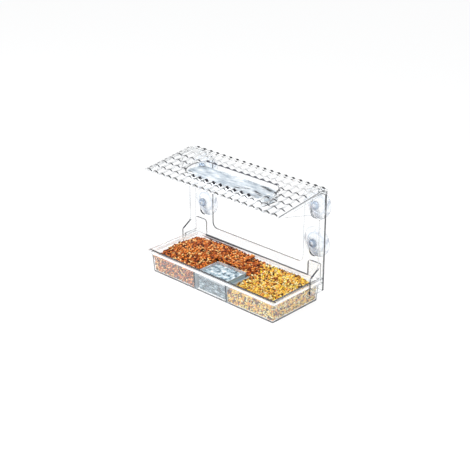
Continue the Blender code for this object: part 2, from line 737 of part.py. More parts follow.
def roof_section(y, raised):
    """One cross section of the roof sheet: tiles on top, a lip at each side and plain barrels below."""
    lines = tile_lines()
    edge = ROOF_HALF_LENGTH
    inner = edge - ROOF_LIP_WALL
    base = roof_base(y)
    under = base - ROOF_WALL
    lip = base - ROOF_LIP_DEPTH
    top = [(-edge, y, base)]
    top += [(x, y, base + raised + arch) for x, arch in lines]
    top += [(edge, y, base)]
    right = [(edge, y, lip), (inner, y, lip), (inner, y, under)]
    below = [(x, y, under + arch) for x, arch in reversed(lines)]
    left = [(-inner, y, under), (-inner, y, lip), (-edge, y, lip)]
    return top + right + below + left


def bath_loop(grow, height):
    """One outline of the bath, grown from its opening, with its height given by depth."""
    half = BATH_LENGTH / 2 + grow
    front = BATH_FRONT_Y - grow
    rear = BATH_FRONT_Y + BATH_WIDTH + grow
    outline = rectangle(-half, half, front, rear, BATH_CORNER + grow, BATH_CORNER_STEPS)
    return [(x, y, height(y)) for x, y in outline]


def bath_rim(y):
    """Height of the bath's rim, which slopes with the roof."""
    return roof_base(y) + BATH_RIM_RISE


def bath_floor():
    """Height of the bath's floor."""
    return bath_rim(BATH_FRONT_Y) - BATH_DEPTH


def socket_outline(centre_x, face_y):
    """A socket's face seen from the front, with its top let into the barrels of the sheet above it."""
    half = TONGUE_WIDTH / 2 + SOCKET_GAP + SOCKET_WALL
    near = centre_x - half
    far = centre_x + half
    base = frame_top(PLATE_BACK_Y) - SOCKET_DEPTH
    top = roof_base(face_y) - ROOF_WALL / 2
    between = [x for x, arch in tile_lines() if near + BURY < x < far - BURY]
    outline = [(near, base), (far, base)]
    outline += [(x, top + tile_arch(x)) for x in (far, *reversed(between), near)]
    return outline


def make_roof(material):
    """The roof moulding: tiles, side lips, the bath, and a socket for each upright."""
    sheet = bmesh.new()
    add_loft(sheet, [roof_section(*station) for station in tile_stations()])
    roof = finish_solid("roof", sheet, material)

    hole = bmesh.new()
    add_loft(hole, (
        bath_loop(BATH_LEDGE, lambda y: roof_base(y) - OVERRUN),
        bath_loop(BATH_LEDGE, lambda y: roof_base(y) + OVERRUN),
    ))
    combine(roof, [finish_solid("bath_hole", hole)], "DIFFERENCE")

    bath = bmesh.new()
    add_loft(bath, (
        bath_loop(BATH_WALL - BATH_DRAFT, lambda y: bath_floor() - BATH_WALL),
        bath_loop(BATH_WALL, bath_rim),
        bath_loop(0, bath_rim),
        bath_loop(-BATH_DRAFT, lambda y: bath_floor()),
    ))
    added = [finish_solid("bath", bath)]
    face_y = PLATE_FRONT_Y - SOCKET_GAP - SOCKET_WALL
    for side_sign in (-1, 1):
        socket = bmesh.new()
        outline = socket_outline(side_sign * UPRIGHT_CENTRE_X, face_y)
        add_prism(socket, outline, along_y, face_y, face_y + SOCKET_WALL)
        added.append(finish_solid("socket_face", socket))
    combine(roof, added, "UNION")
    shade(roof)
    return roof


def make_bath_water(material):
    """The water standing in the bath, clear of its wall where that is steepest."""
    floor = bath_floor()
    water_z = bath_rim(BATH_FRONT_Y) - BATH_WATER_BELOW_RIM
    rise_share = (water_z - floor) / (bath_rim(BATH_FRONT_Y + BATH_WIDTH) - floor)
    mesh = bmesh.new()
    add_loft(mesh, (
        bath_loop(-BATH_DRAFT - SLIDE_GAP, lambda y: floor + SEAT_GAP),
        bath_loop(-BATH_DRAFT * (1 - rise_share) - SLIDE_GAP, lambda y: water_z),
    ))
    water = finish_solid("bath_water", mesh, material)
    shade(water)
    return water


def build():
    clear_scene()
    clear_plastic = make_material("clear_plastic", (0.86, 0.90, 0.93), 0.08, 0.32)
    soft_clear = make_material("soft_clear_plastic", (0.74, 0.79, 0.83), 0.22, 0.55)
    water = make_material("water", (0.60, 0.74, 0.84), 0.05, 0.6, 1.33)
    brown_feed = make_material("brown_feed", (0.42, 0.13, 0.04), 0.7)
    yellow_feed = make_material("yellow_feed", (0.72, 0.47, 0.12), 0.7)
    make_back_frame(clear_plastic)
    make_roof(clear_plastic)
    make_bath_water(water)
    make_tray(clear_plastic)
    make_feed_bed("feed_bed_left", -1, LEFT_HEAP_SHARES, brown_feed)
    make_feed_bed("feed_bed_right", 1, RIGHT_HEAP_SHARES, yellow_feed)
    make_water_dish(clear_plastic)
    make_dish_water(water)
    for name, (centre_x, centre_z) in CUP_PLACES.items():
        make_suction_cup(name, centre_x, centre_z, soft_clear)


build()
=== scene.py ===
"""Looks of the window bird feeder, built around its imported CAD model."""

import math
import random
from collections import namedtuple
from functools import cached_property

import bmesh
import bpy
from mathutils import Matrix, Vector, noise
from mathutils.bvhtree import BVHTree


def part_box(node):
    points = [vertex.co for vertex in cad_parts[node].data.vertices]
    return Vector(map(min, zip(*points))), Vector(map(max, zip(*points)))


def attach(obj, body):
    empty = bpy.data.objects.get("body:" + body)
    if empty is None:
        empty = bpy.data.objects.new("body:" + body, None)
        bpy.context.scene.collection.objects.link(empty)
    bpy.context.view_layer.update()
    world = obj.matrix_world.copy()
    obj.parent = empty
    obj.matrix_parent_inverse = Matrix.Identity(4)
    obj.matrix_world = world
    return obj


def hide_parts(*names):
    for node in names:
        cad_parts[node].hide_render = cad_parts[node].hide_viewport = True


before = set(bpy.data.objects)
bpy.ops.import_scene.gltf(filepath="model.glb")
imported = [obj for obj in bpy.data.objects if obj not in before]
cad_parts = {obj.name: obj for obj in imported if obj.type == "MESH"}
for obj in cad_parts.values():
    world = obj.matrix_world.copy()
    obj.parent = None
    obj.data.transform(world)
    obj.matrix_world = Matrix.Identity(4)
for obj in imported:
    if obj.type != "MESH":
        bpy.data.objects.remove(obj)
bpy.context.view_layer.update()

MM = 0.001
WHITE = (1.0, 1.0, 1.0)
DARK_GREY = (0.08, 0.08, 0.10)
DARK = (0.05, 0.05, 0.06)
BLACK = (0.02, 0.02, 0.025)

# Forms that looks are given in: a step is 0 at one value and 1 at another, and a band is 1 about its centre
Step = namedtuple("Step", "zero one")
Band = namedtuple("Band", "centre half fade")
Noise = namedtuple("Noise", "scale detail roughness stretch", defaults=(0.5, (1.0, 1.0, 1.0)))
Plastic = namedtuple("Plastic", "tint edge_tint edge_width roughness haze index", defaults=(0.03, 0.0, 1.49))
Line = namedtuple("Line", "tint solid places")
Shades = namedtuple("Shades", "by stops")
Keyhole = namedtuple("Keyhole", "x z reach")

# Camera, as solved from the photograph
CAMERA_PLACE = Vector((1.1245, -1.1877, 0.8272))
CAMERA_AIM = Vector((-0.0097, 0.0122, 0.0844))
CAMERA_LENS = 83.25
CAMERA_SENSOR = 36.0
CAMERA_CLIP = 0.05

# The room: its colours from low to high, how white it is in reflections, and its strength
SKY_STOPS = (
    (0.0, (0.62, 0.64, 0.66)), (0.25, (0.30, 0.32, 0.34)), (0.6, (0.9, 0.92, 0.94)), (1.0, WHITE),
)
GLOSS_SHARE = 0.85
ROOM_STRENGTH = 0.9

# Lamps: name, place, aim, width and height, and watts
LAMPS = (
    ("key", (-0.6, -0.9, 1.3), (0, 0, 0.05), (0.7, 0.7), 26),
    ("fill", (1.2, -0.2, 0.9), (0, 0, 0.08), (0.6, 0.9), 8),
)

# The floor: half its side, how far it lies below the tray, its grey, and how it glows where it is seen
FLOOR_HALF = 6.0
FLOOR_DROP = 0.3 * MM
FLOOR_GREY = (0.93, 0.93, 0.93)
FLOOR_GLOW = 1.02
FLOOR_GLOW_SHARE = 0.8

# Meshes: how near corners are joined, and up to which angle faces are shaded as one
WELD = 0.01 * MM
SMOOTH_DEGREES = 38
IMPORTED_NORMALS = "custom_normal"

# Grains: length, width and thickness of a plain grain, its corners, and how grains differ in size
GRAIN_SIZE = Vector((5.2, 3.1, 2.9)) * MM
GRAIN_SIDES = 7
GRAIN_RINGS = (0.0, 0.12, 0.36, 0.64, 0.88, 1.0)
GRAIN_GROWTH = (0.85, 1.15)

# How grains are scattered over a bed: a layer has its lift off the bed and its tilt
GRAIN_SPACING = 3.1 * MM
GRAIN_LAYERS = ((-1.0 * MM, 0.35), (0.5 * MM, 0.7))
TOP_LAYER_SPREAD = 1.35
GRAIN_WALL_DEPTH = 1.5 * MM
GRAIN_WALL_TILT = 0.25
# How deep under the bed's top the dark core of painted shade lies
GAP_SHADE_DEPTH = 2.4 * MM
TRIES_PER_AREA = 7.0
UPWARD = 0.5
LEFT_FEED_SEED = 11
RIGHT_FEED_SEED = 29

# Loose grains that lie over the divider behind the dish
BRIDGE_GRAINS = 46
BRIDGE_HALF = 2.6 * MM
BRIDGE_SHARE = 0.88
BRIDGE_Z = 39.0 * MM
BRIDGE_SIDE = 2.6 * MM
BRIDGE_SIDE_Z = 37.6 * MM
BRIDGE_TILT = 0.3

# Colours of the feed, and how common each is
# The attribute holds each grain's own colour with painted shade from underside to top
GRAIN_TONE_AND_SHADE = "grain_colour"
BROWN_GRAINS = (
    ((0.46, 0.092, 0.012), 4), ((0.68, 0.18, 0.025), 5), ((0.92, 0.31, 0.055), 4), ((1.0, 0.60, 0.24), 4),
    ((0.14, 0.022, 0.004), 3), ((0.05, 0.010, 0.003), 1),
)
YELLOW_GRAINS = (
    ((1.0, 0.56, 0.08), 5), ((1.0, 0.72, 0.18), 5), ((1.0, 0.88, 0.48), 4), ((0.88, 0.38, 0.06), 4),
    ((1.0, 0.68, 0.05), 2), ((0.45, 0.14, 0.025), 2), ((0.14, 0.055, 0.012), 2),
)
CORN_SHARE = 0.05
CORN_SIZE = Vector((7.6, 6.6, 3.0)) * MM
CORN_COLOUR = (0.93, 0.60, 0.09)
# The dark core's colour is painted shade for the gaps between grains
GAP_SHADE_COLOUR = (0.055, 0.016, 0.006)

# How a grain's colour varies: its own lightness, and painted shade from its dark underside to its lit top,
# warmer where darker, in red, green and blue
GRAIN_LIGHTNESS = (0.85, 1.15)
PAINTED_UNDERSIDE_LIGHT = 0.12
PAINTED_LIGHT_MIDDLE = 0.35
PAINTED_LIGHT_RISE = 1.5
PAINTED_SHADE_WARMTH = (0.9, 1.2, 1.5)

# Where brown grains end among the mixed feed: at the rear, behind the dish, and how loosely
SPILL_REAR_X = 31 * MM
SPILL_MIDDLE_X = 43 * MM
SPILL_LOOSENESS = 8 * MM

# Places read from the frame
TRAY_LOW, TRAY_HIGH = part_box("tray")
DISH_LOW, DISH_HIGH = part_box("water_dish")
ROOF_LOW, ROOF_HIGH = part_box("roof")
BATH_LOW, BATH_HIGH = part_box("bath_water")
FRAME_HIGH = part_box("back_frame")[1]
CUP_NODES = [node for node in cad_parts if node.startswith("suction_cup")]

# The tile sheet's pattern, as in the solid
TILE_COLUMNS = 19
TILE_BORDER = 3.2 * MM
TILE_CROWN = 2.6 * MM
TILE_STEP = 1.6 * MM
TILE_ROWS = 6
RIDGE_TO_REAR = 13 * MM
ROOF_RISE = 12.9 * MM
ROOF_REAR_FALL = 2.4 * MM
FIRST_RIB_X = ROOF_LOW.x + TILE_BORDER
TILE_PITCH = -2 * FIRST_RIB_X / TILE_COLUMNS
RIDGE_Y = ROOF_HIGH.y - RIDGE_TO_REAR
RIDGE_Z = ROOF_HIGH.z - TILE_STEP - TILE_CROWN
ROW_PITCH = (RIDGE_Y - ROOF_LOW.y) / TILE_ROWS
FRONT_SLOPE = ROOF_RISE / (RIDGE_Y - ROOF_LOW.y)
REAR_SLOPE = -ROOF_REAR_FALL / RIDGE_TO_REAR

# Places on the tray and the frame that lines follow
RIM_BASE_Z = 35 * MM
RIM_TOP_Z = 40 * MM
DIVIDER_X = 36.25 * MM
CROSSBAR_TOP_Z = 57 * MM
EAR_INNER_X = 116 * MM
CHEEK_FOOT_Y = 20.4 * MM
CHEEK_FOOT_Z = 52 * MM
CHEEK_SLOPE = 0.605
KEYHOLE_DROP = 14 * MM
KEYHOLE_RADIUS = 8.5 * MM
DARK_KEYHOLE_CUP = "suction_cup_upper_right"

# Noises: scale per metre, detail, roughness and stretch
PLASTIC_WAVES = Noise(26.0, 2.0)
DISH_SWIRL = Noise(140.0, 3.0, 0.6, (0.8, 1.0, 1.6))
CUP_SWIRL = Noise(75.0, 2.0, 0.5, (1.0, 1.0, 0.7))
BATH_PATCHES = Noise(110.0, 3.0, 0.65, (0.35, 1.0, 1.0))
DISH_PATCHES = Noise(130.0, 3.0, 0.65)
GRAIN_MOTTLE = Noise(700.0, 2.0)

# Bumps: depth and strength
PLASTIC_BUMP = (0.4 * MM, 0.35)
WATER_BUMP = (1.0 * MM, 0.6)
GRAIN_BUMP = (0.15 * MM, 0.5)

# Dry grain: shades of its mottled skin, its roughness and its shine
MOTTLE_STOPS = ((0.3, (0.72, 0.70, 0.68)), (0.65, WHITE))
GRAIN_ROUGHNESS = 0.5
GRAIN_SHINE = 0.25

# Water: how finely its surface is cut, what counts as level, and the size and octaves of its ripples
RIPPLE_CELL = 2.0 * MM
LEVEL = 0.9
RIPPLE_HEIGHT = 0.55 * MM
RIPPLE_LENGTH = 15 * MM
RIPPLE_WIDTH = 6 * MM
RIPPLE_OCTAVES = (1.0, 2.0, 2)
BATH_RIPPLE_SEED = 3.0
DISH_RIPPLE_SEED = 8.0

# Looks of the water, and how much finer its bumps are than its patches
WATER_ROUGHNESS = 0.06
WATER_INDEX = 1.33
WATER_CLEARNESS = 0.3
WATER_SHADOW_CLEARNESS = 0.7
BUMP_FINENESS = 1.7
BUMP_DETAIL = 2.0

# Colours of the water, its pale blue tint with painted dark reflections and white highlights, from its
# darkest streaks to its lightest
BATH_TINT_REFLECTION_STOPS = (
    (0.28, (0.22, 0.26, 0.30)), (0.42, (0.42, 0.47, 0.52)), (0.52, (0.57, 0.62, 0.66)),
    (0.60, (0.72, 0.75, 0.79)), (0.70, (0.98, 0.99, 1.0)),
)
DISH_TINT_REFLECTION_STOPS = (
    (0.32, (0.02, 0.03, 0.05)), (0.41, (0.11, 0.17, 0.21)), (0.48, (0.36, 0.46, 0.52)),
    (0.56, (0.54, 0.65, 0.70)), (0.65, (1.0, 0.98, 0.98)),
)

# Dark reflections in the bath's darker patches: centre, half length and half width, and lean
BATH_STREAKS = (
    ((63 * MM, 8.6 * MM), (19 * MM, 5 * MM), -0.14),
    ((32 * MM, -15.5 * MM), (15 * MM, 4.5 * MM), 0.45),
    ((65 * MM, -15 * MM), (15 * MM, 4.5 * MM), -0.3),
    ((-83 * MM, 11 * MM), (8 * MM, 5 * MM), 0.4),
    ((-78 * MM, -22 * MM), (8 * MM, 4 * MM), -0.4),
)
STREAK_COLOUR = (0.015, 0.02, 0.025)
STREAK_PATCHES = Step(0.66, 0.52)

# Clear plastics: haze is the share of light that a face scatters, and the edge colour is painted dark
# refraction along the edges
PALE = (0.97, 0.985, 0.99)
PAINTED_EDGE_SHADE = (0.16, 0.19, 0.22)
FRAME_PLASTIC = Plastic(PALE, PAINTED_EDGE_SHADE, 1.3 * MM)
TRAY_PLASTIC = Plastic(PALE, PAINTED_EDGE_SHADE, 1.3 * MM, haze=0.04)
DISH_PLASTIC = Plastic((0.62, 0.72, 0.80), (0.06, 0.08, 0.11), 1.0 * MM, haze=0.2)
ROOF_PLASTIC = Plastic(PALE, (0.62, 0.64, 0.66), 0.6 * MM, index=1.12)
CUP_PLASTIC = Plastic((0.88, 0.92, 0.96), (0.42, 0.48, 0.57), 1.2 * MM, roughness=0.12, haze=0.06)

# Clear plastic: where its waves are tinted and clear, how an edge shows, and how clear its shadow is
TINTED_WAVE = 0.3
CLEAR_WAVE = 0.7
BEVEL_SAMPLES = 6
EDGE_TURN = Step(0.995, 0.80)
PLASTIC_SHADOW_CLEARNESS = 0.88

# Steps that several lines share: where a share holds or doesn't, and what faces the front
ON = Step(0.0, 1.0)
OFF = Step(1.0, 0.0)
FACES_FRONT = Step(-0.5, -0.8)

# Lines of the roof: tint or shades by a measure, share that isn't see-through, and limits on measures
BEFORE_RIDGE = Step(RIDGE_Y - 1 * MM, RIDGE_Y - 3 * MM)
TILE_FRONT = dict(facing_y=FACES_FRONT, y=BEFORE_RIDGE)
TILE_TOP = Step(-1.4 * MM, -1.0 * MM)
FAR_ROWS_Y = Step(24 * MM, 20 * MM)
FAR_ROWS_SHARE = 0.55
HALVES = 2.0
DASH_MIDDLE = 0.7
DASH_LEAN = 0.35 * TILE_PITCH
TILE_FRONT_STOPS = (
    (0.0, (0.62, 0.62, 0.64)), (0.16, (0.36, 0.36, 0.38)), (0.34, (0.13, 0.13, 0.14)),
    (0.50, (0.04, 0.04, 0.045)), (0.88, (0.03, 0.03, 0.04)), (0.97, (0.50, 0.50, 0.52)),
)
ROOF_LINES = dict(
    bowl_front=Line((0.98, 0.99, 1.0), 0.6, [dict(
        over_slope=Step(-2.5 * MM, -3.2 * MM), y=Step(BATH_LOW.y + 4 * MM, BATH_LOW.y + 2 * MM),
    )]),
    tile_fronts=Line(Shades("across_barrel", TILE_FRONT_STOPS), 0.9, [dict(
        tile_front=ON, over_tiles=Step(0.1 * MM, 0.25 * MM), nearness=ON,
    )]),
    behind_tile_fronts=Line(BLACK, 0.6, [dict(
        up_row=Step(0.055, 0.04), over_slope=Step(0.6 * MM, 0.8 * MM), across_barrel=Band(0.73, 0.17, 0.05),
        y=BEFORE_RIDGE, nearness=ON, tile_front=OFF,
    )]),
    # Painted dark glints on the barrels' right flanks at the eaves
    eaves_painted_glints=Line((0.05, 0.05, 0.05), 0.9, [dict(
        tile_front=ON, over_tiles=Step(-0.9 * MM, -0.7 * MM), across_barrel=Band(0.70, 0.19, 0.03),
        y=Step(ROOF_LOW.y + 1.6 * MM, ROOF_LOW.y + 1.2 * MM),
    )]),
    # Painted dark glints on the barrels' right flanks behind the ridge
    rear_painted_glints=Line(BLACK, 0.98, [dict(
        leaning_y=Band(ROOF_HIGH.y - 3.8 * MM, 3.2 * MM, 0.2 * MM), across_barrel=Band(0.74, 0.18, 0.03),
        over_rear_tiles=TILE_TOP,
    )]),
    bath_rear_edge=Line(DARK_GREY, 0.85, [dict(
        over_slope=Step(0.1 * MM, 0.3 * MM), x=Band(0.0, BATH_HIGH.x - 10 * MM, 4 * MM),
        y=Band(BATH_HIGH.y + 1.5 * MM, 0.9 * MM, 0.3 * MM),
    )]),
    bath_ends=Line((0.06, 0.06, 0.07), 0.85, [dict(
        over_slope=Band(0.6 * MM, 0.5 * MM, 0.1 * MM), from_middle=Band(BATH_HIGH.x, 6 * MM, 2 * MM),
        y=Band(-8 * MM, 14 * MM, 4 * MM),
    )]),
    # Painted dark glints on the barrels' right flanks before the bath
    bath_front_painted_glints=Line(BLACK, 0.98, [dict(
        x=Band(0.5 * TILE_PITCH, 4.5 * TILE_PITCH, 1 * MM), across_barrel=Band(0.72, 0.21, 0.03),
        leaning_y=Band(BATH_LOW.y - 6.0 * MM, 2.6 * MM, 0.3 * MM), over_tiles=TILE_TOP,
    )]),
    right_end=Line((0.12, 0.12, 0.13), 0.7, [dict(
        over_tiles=TILE_TOP, x=Step(ROOF_HIGH.x - 1.2 * MM, ROOF_HIGH.x - 0.9 * MM),
    )]),
    left_end=Line((0.10, 0.10, 0.11), 0.8, [dict(
        over_tiles=TILE_TOP, x=Step(ROOF_LOW.x + 3.4 * MM, ROOF_LOW.x + 3.0 * MM),
        up_half_row=Band(0.5, 0.28, 0.1),
    )]),
)

# Where the roof's edges stay clear: the bath's front rim, and the ridge
ROOF_PLAIN = [
    dict(x=Band(0.0, BATH_HIGH.x - 8 * MM, 4 * MM), y=Band(BATH_LOW.y - 2.5 * MM, 6 * MM, 1 * MM)),
    dict(y=Step(RIDGE_Y - 3 * MM, RIDGE_Y - 1 * MM)),
]

# Lines of the tray
EARS_Z = Step(RIM_TOP_Z + 1 * MM, RIM_TOP_Z + 2 * MM)
ON_RIM_Z = Step(RIM_TOP_Z - 0.6 * MM, RIM_TOP_Z - 0.3 * MM)
REAR_LINE_X = Step(-90 * MM, 20 * MM)
REAR_LINE_RISE = 1.5 * MM
REAR_LINE_Z = RIM_TOP_Z - 2.3 * MM
TRAY_LINES = dict(
    rim=Line(WHITE, 0.45, [dict(z=Band((RIM_BASE_Z + RIM_TOP_Z) / 2, 1.8 * MM, 0.5 * MM), edge=OFF)]),
    left_rim=Line((0.84, 0.88, 0.91), 0.0, [dict(
        x=Step(TRAY_LOW.x + 14 * MM, TRAY_LOW.x + 10 * MM), edge=ON, y=Step(-40 * MM, -20 * MM),
    )]),
    ears=Line((0.84, 0.79, 0.81), 0.0, [dict(z=EARS_Z, edge=ON)]),
    ear_tops=Line((0.12, 0.12, 0.14), 0.75, [dict(z=Step(TRAY_HIGH.z - 0.9 * MM, TRAY_HIGH.z - 0.6 * MM))]),
    right_ear_side=Line(DARK, 0.85, [dict(
        z=EARS_Z, x=Band(EAR_INNER_X + 0.6 * MM, 0.9 * MM, 0.2 * MM),
    )]),
    lower_rear_line=Line(DARK_GREY, 0.9, [dict(
        facing_y=FACES_FRONT, y=Step(TRAY_HIGH.y - 6 * MM, TRAY_HIGH.y - 5 * MM),
        z=Band(RIM_TOP_Z - 4.6 * MM, 0.8 * MM, 0.3 * MM), x=Band(-84 * MM, 30 * MM, 16 * MM),
    )]),
    rear_line=Line((0.04, 0.04, 0.05), 0.92, [dict(
        y=Step(TRAY_HIGH.y - 3.7 * MM, TRAY_HIGH.y - 3.3 * MM), x=Band(0.0, EAR_INNER_X, 2 * MM),
        over_rear_line=Step(0.0, 0.3 * MM), z=Step(RIM_TOP_Z + 0.9 * MM, RIM_TOP_Z + 0.6 * MM),
    )]),
    front_line=Line((0.015, 0.015, 0.02), 0.95, [dict(
        z=ON_RIM_Z, y=Band(TRAY_LOW.y + 4.3 * MM, 1.5 * MM, 0.3 * MM),
    )]),
    right_line=Line((0.03, 0.03, 0.035), 0.9, [dict(
        z=[ON_RIM_Z, Step(RIM_TOP_Z + 1 * MM, RIM_TOP_Z + 0.5 * MM)],
        x=Band(TRAY_HIGH.x - 6.3 * MM, 1.0 * MM, 0.3 * MM), y=Step(TRAY_LOW.y + 4 * MM, TRAY_LOW.y + 5 * MM),
    )]),
    divider_ends=Line((0.06, 0.07, 0.08), 0.9, [dict(
        y=Step(-50 * MM, -54 * MM), z=Step(RIM_BASE_Z, RIM_BASE_Z - 0.6 * MM),
        from_middle=Band(DIVIDER_X, 1.4 * MM, 0.3 * MM),
    )]),
    divider_sides=Line((0.44, 0.51, 0.56), 0.6, [dict(
        y=[Step(TRAY_LOW.y + 6 * MM, TRAY_LOW.y + 7 * MM), Step(DISH_HIGH.y, DISH_HIGH.y - 1 * MM)],
        from_middle=Band(DIVIDER_X, 2 * MM, 0.5 * MM), z=Step(RIM_BASE_Z - 4 * MM, RIM_BASE_Z - 5 * MM),
    )]),
)

# Where the tray's edges stay clear: its front right corner
TRAY_PLAIN = [dict(
    x=Step(130 * MM, 132 * MM), y=Step(-50 * MM, -52 * MM),
    z=Band(RIM_BASE_Z / 2, RIM_BASE_Z / 2 - 1.5 * MM, 0.5 * MM),
)]

# Lines of the back frame
CHEEK_X = Step(FRAME_HIGH.x - 2.4 * MM, FRAME_HIGH.x - 2.2 * MM)
FRAME_LINES = dict(
    crossbar=Line((0.86, 0.77, 0.75), 0.5, [dict(
        z=Band(CROSSBAR_TOP_Z, 5 * MM, 2 * MM), x=Band(2 * MM, 88 * MM, 6 * MM), edge=ON,
    )]),
    rails=Line((0.80, 0.87, 0.91), 0.0, [dict(
        from_middle=[
            Step(FRAME_HIGH.x - 2.2 * MM, FRAME_HIGH.x - 2.6 * MM), Step(EAR_INNER_X, EAR_INNER_X + 1 * MM),
        ],
        z=Band(RIM_TOP_Z, 9 * MM, 1 * MM), edge=ON,
    )]),
    right_end=Line(DARK, 0.85, [dict(
        facing_x=Step(0.5, 0.7), x=Step(FRAME_HIGH.x - 1.3 * MM, FRAME_HIGH.x - 0.9 * MM),
        y=Step(FRAME_HIGH.y - 2.9 * MM, FRAME_HIGH.y - 2.5 * MM),
    )]),
    window_side=Line(DARK, 0.85, [dict(
        facing_x=Step(0.35, 0.5), x=Band(-98 * MM, 12 * MM, 2 * MM),
        y=Band(FRAME_HIGH.y - 2.5 * MM, 1.1 * MM, 0.3 * MM),
    )]),
    cheek_fronts=Line((0.02, 0.02, 0.03), 0.95, [
        dict(from_middle=CHEEK_X, over_cheek=Step(-2.9 * MM, -2.5 * MM), z=Band(57.5 * MM, 5.5 * MM, 1 * MM)),
        dict(
            from_middle=CHEEK_X, y=Step(CHEEK_FOOT_Y + 2.3 * MM, CHEEK_FOOT_Y + 1.9 * MM),
            z=Band(46 * MM, 9 * MM, 1 * MM),
        ),
    ]),
    keyholes=Line(DARK, 0.8, [dict(keyhole_line=ON)]),
)

# Lines of a keyhole, measured from its centre: its lower left arc, and its left side
KEYHOLE_FOOT = dict(
    reach=Band(KEYHOLE_RADIUS, 0.9 * MM, 0.3 * MM), z=Step(-1 * MM, -4 * MM), x=Step(4 * MM, 1 * MM),
)
KEYHOLE_SIDE = dict(x=Band(-KEYHOLE_RADIUS, 1.2 * MM, 0.3 * MM), z=Band(8 * MM, 10 * MM, 3 * MM))

# Lines of the dish
LIP_Z = Step(DISH_HIGH.z - 0.8 * MM, DISH_HIGH.z - 0.5 * MM)
BELOW_LIP_Z = Step(LIP_Z.one, LIP_Z.zero)
DISH_RIGHT_X = Step(DISH_HIGH.x - 5 * MM, DISH_HIGH.x - 4 * MM)
DISH_SWIRL_STOPS = (
    (0.34, (0.03, 0.05, 0.07)), (0.45, (0.08, 0.12, 0.15)), (0.55, (0.15, 0.22, 0.26)),
    (0.68, (0.56, 0.65, 0.70)),
)
DISH_LINES = dict(
    # Painted shade on the dish's right side below its lip
    right_side=Line((0.36, 0.45, 0.49), 0.7, [dict(x=DISH_RIGHT_X, z=BELOW_LIP_Z)]),
    rear_corner=Line((0.06, 0.09, 0.10), 0.8, [dict(
        x=DISH_RIGHT_X, z=BELOW_LIP_Z, y=Step(DISH_HIGH.y - 5 * MM, DISH_HIGH.y - 4 * MM),
    )]),
    lip=Line((0.07, 0.10, 0.10), 0.8, [
        dict(z=LIP_Z, x=Step(DISH_HIGH.x - 1.6 * MM, DISH_HIGH.x - 1.3 * MM)),
        dict(z=LIP_Z, x=Band(DISH_HIGH.x - 3.0 * MM, 0.5 * MM, 0.2 * MM)),
    ]),
    front_swirl=Line(Shades("swirl", DISH_SWIRL_STOPS), 0.9, [dict(
        z=Step(DISH_HIGH.z - 6 * MM, DISH_HIGH.z - 9 * MM), y=Step(DISH_LOW.y + 6 * MM, DISH_LOW.y + 5 * MM),
    )]),
)

# Lines of a suction cup, whose own origin is on its axis
CUP_LINES = dict(
    swirl=Line((0.42, 0.46, 0.53), 0.2, [dict(swirl=Step(0.50, 0.66))]),
    ring=Line((0.66, 0.72, 0.80), 0.1, [dict(reach=Band(16 * MM, 0.9 * MM, 0.8 * MM))]),
    button=Line((0.22, 0.28, 0.37), 0.4, [dict(
        y=Step(-2.6 * MM, -2.9 * MM), reach=Band(5.2 * MM, 1.6 * MM, 1.0 * MM),
    )]),
)


def new_material(name):
    """A material and its emptied node tree."""
    material = bpy.data.materials.new(name)
    material.use_nodes = True
    material.node_tree.nodes.clear()
    return material, material.node_tree


def add_node(tree, kind, **settings):
    """A new node with its settings."""
    node = tree.nodes.new(kind)
    for key, value in settings.items():
        setattr(node, key, value)
    return node


def fill_socket(tree, socket, value):
    """Links an input to the value where that is a socket, and sets it to the value otherwise."""
    if isinstance(value, bpy.types.NodeSocket):
        tree.links.new(value, socket)
    else:
        socket.default_value = value


def set_inputs(tree, node, **inputs):
    """Fills a node's inputs by name, with an underscore for each space."""
    for name, value in inputs.items():
        fill_socket(tree, node.inputs[name.replace("_", " ")], value)


def calculate(tree, operation, *values):
    """One arithmetic step on numbers or sockets."""
    node = add_node(tree, "ShaderNodeMath", operation=operation)
    for socket, value in zip(node.inputs, values):
        fill_socket(tree, socket, value)
    return node.outputs["Value"]


def parts(tree, vector):
    """X, Y and Z of a vector."""
    split = add_node(tree, "ShaderNodeSeparateXYZ")
    set_inputs(tree, split, Vector=vector)
    return split.outputs["X"], split.outputs["Y"], split.outputs["Z"]


def length(tree, x, y):
    """Length of the arrow with these two parts."""
    return calculate(tree, "SQRT", calculate(tree, "ADD", together(tree, x, x), together(tree, y, y)))


def object_noise(tree, pattern):
    """Noise in the object's own coordinates."""
    place = add_node(tree, "ShaderNodeTexCoord")
    mapping = add_node(tree, "ShaderNodeMapping")
    set_inputs(tree, mapping, Vector=place.outputs["Object"], Scale=pattern.stretch)
    texture = add_node(tree, "ShaderNodeTexNoise")
    set_inputs(
        tree, texture, Vector=mapping.outputs["Vector"], Scale=pattern.scale, Detail=pattern.detail,
        Roughness=pattern.roughness,
    )
    return texture.outputs["Fac"]


def ramp(tree, factor, stops):
    """A colour ramp with (position, colour) stops."""
    node = add_node(tree, "ShaderNodeValToRGB")
    while len(node.color_ramp.elements) < len(stops):
        node.color_ramp.elements.new(1.0)
    for element, (position, colour) in zip(node.color_ramp.elements, stops):
        element.position = position
        element.color = (*colour, 1.0)
    set_inputs(tree, node, Fac=factor)
    return node.outputs["Color"]


def bump(tree, height, distance, strength):
    """A bump from a height in 0 to 1, with its depth in metres."""
    node = add_node(tree, "ShaderNodeBump")
    set_inputs(tree, node, Height=height, Distance=distance, Strength=strength)
    return node.outputs["Normal"]


def rise(tree, value, zero, one):
    """0 up to the first limit and 1 from the second on; with the first above the second it falls instead."""
    node = add_node(tree, "ShaderNodeMapRange")
    set_inputs(tree, node, Value=value, From_Min=zero, From_Max=one, To_Min=0.0, To_Max=1.0)
    return node.outputs["Result"]


def band(tree, value, centre, half, fade):
    """1 within half of the centre, and 0 beyond a fade outside it."""
    off = calculate(tree, "ABSOLUTE", calculate(tree, "SUBTRACT", value, centre))
    return rise(tree, off, half + fade, half)


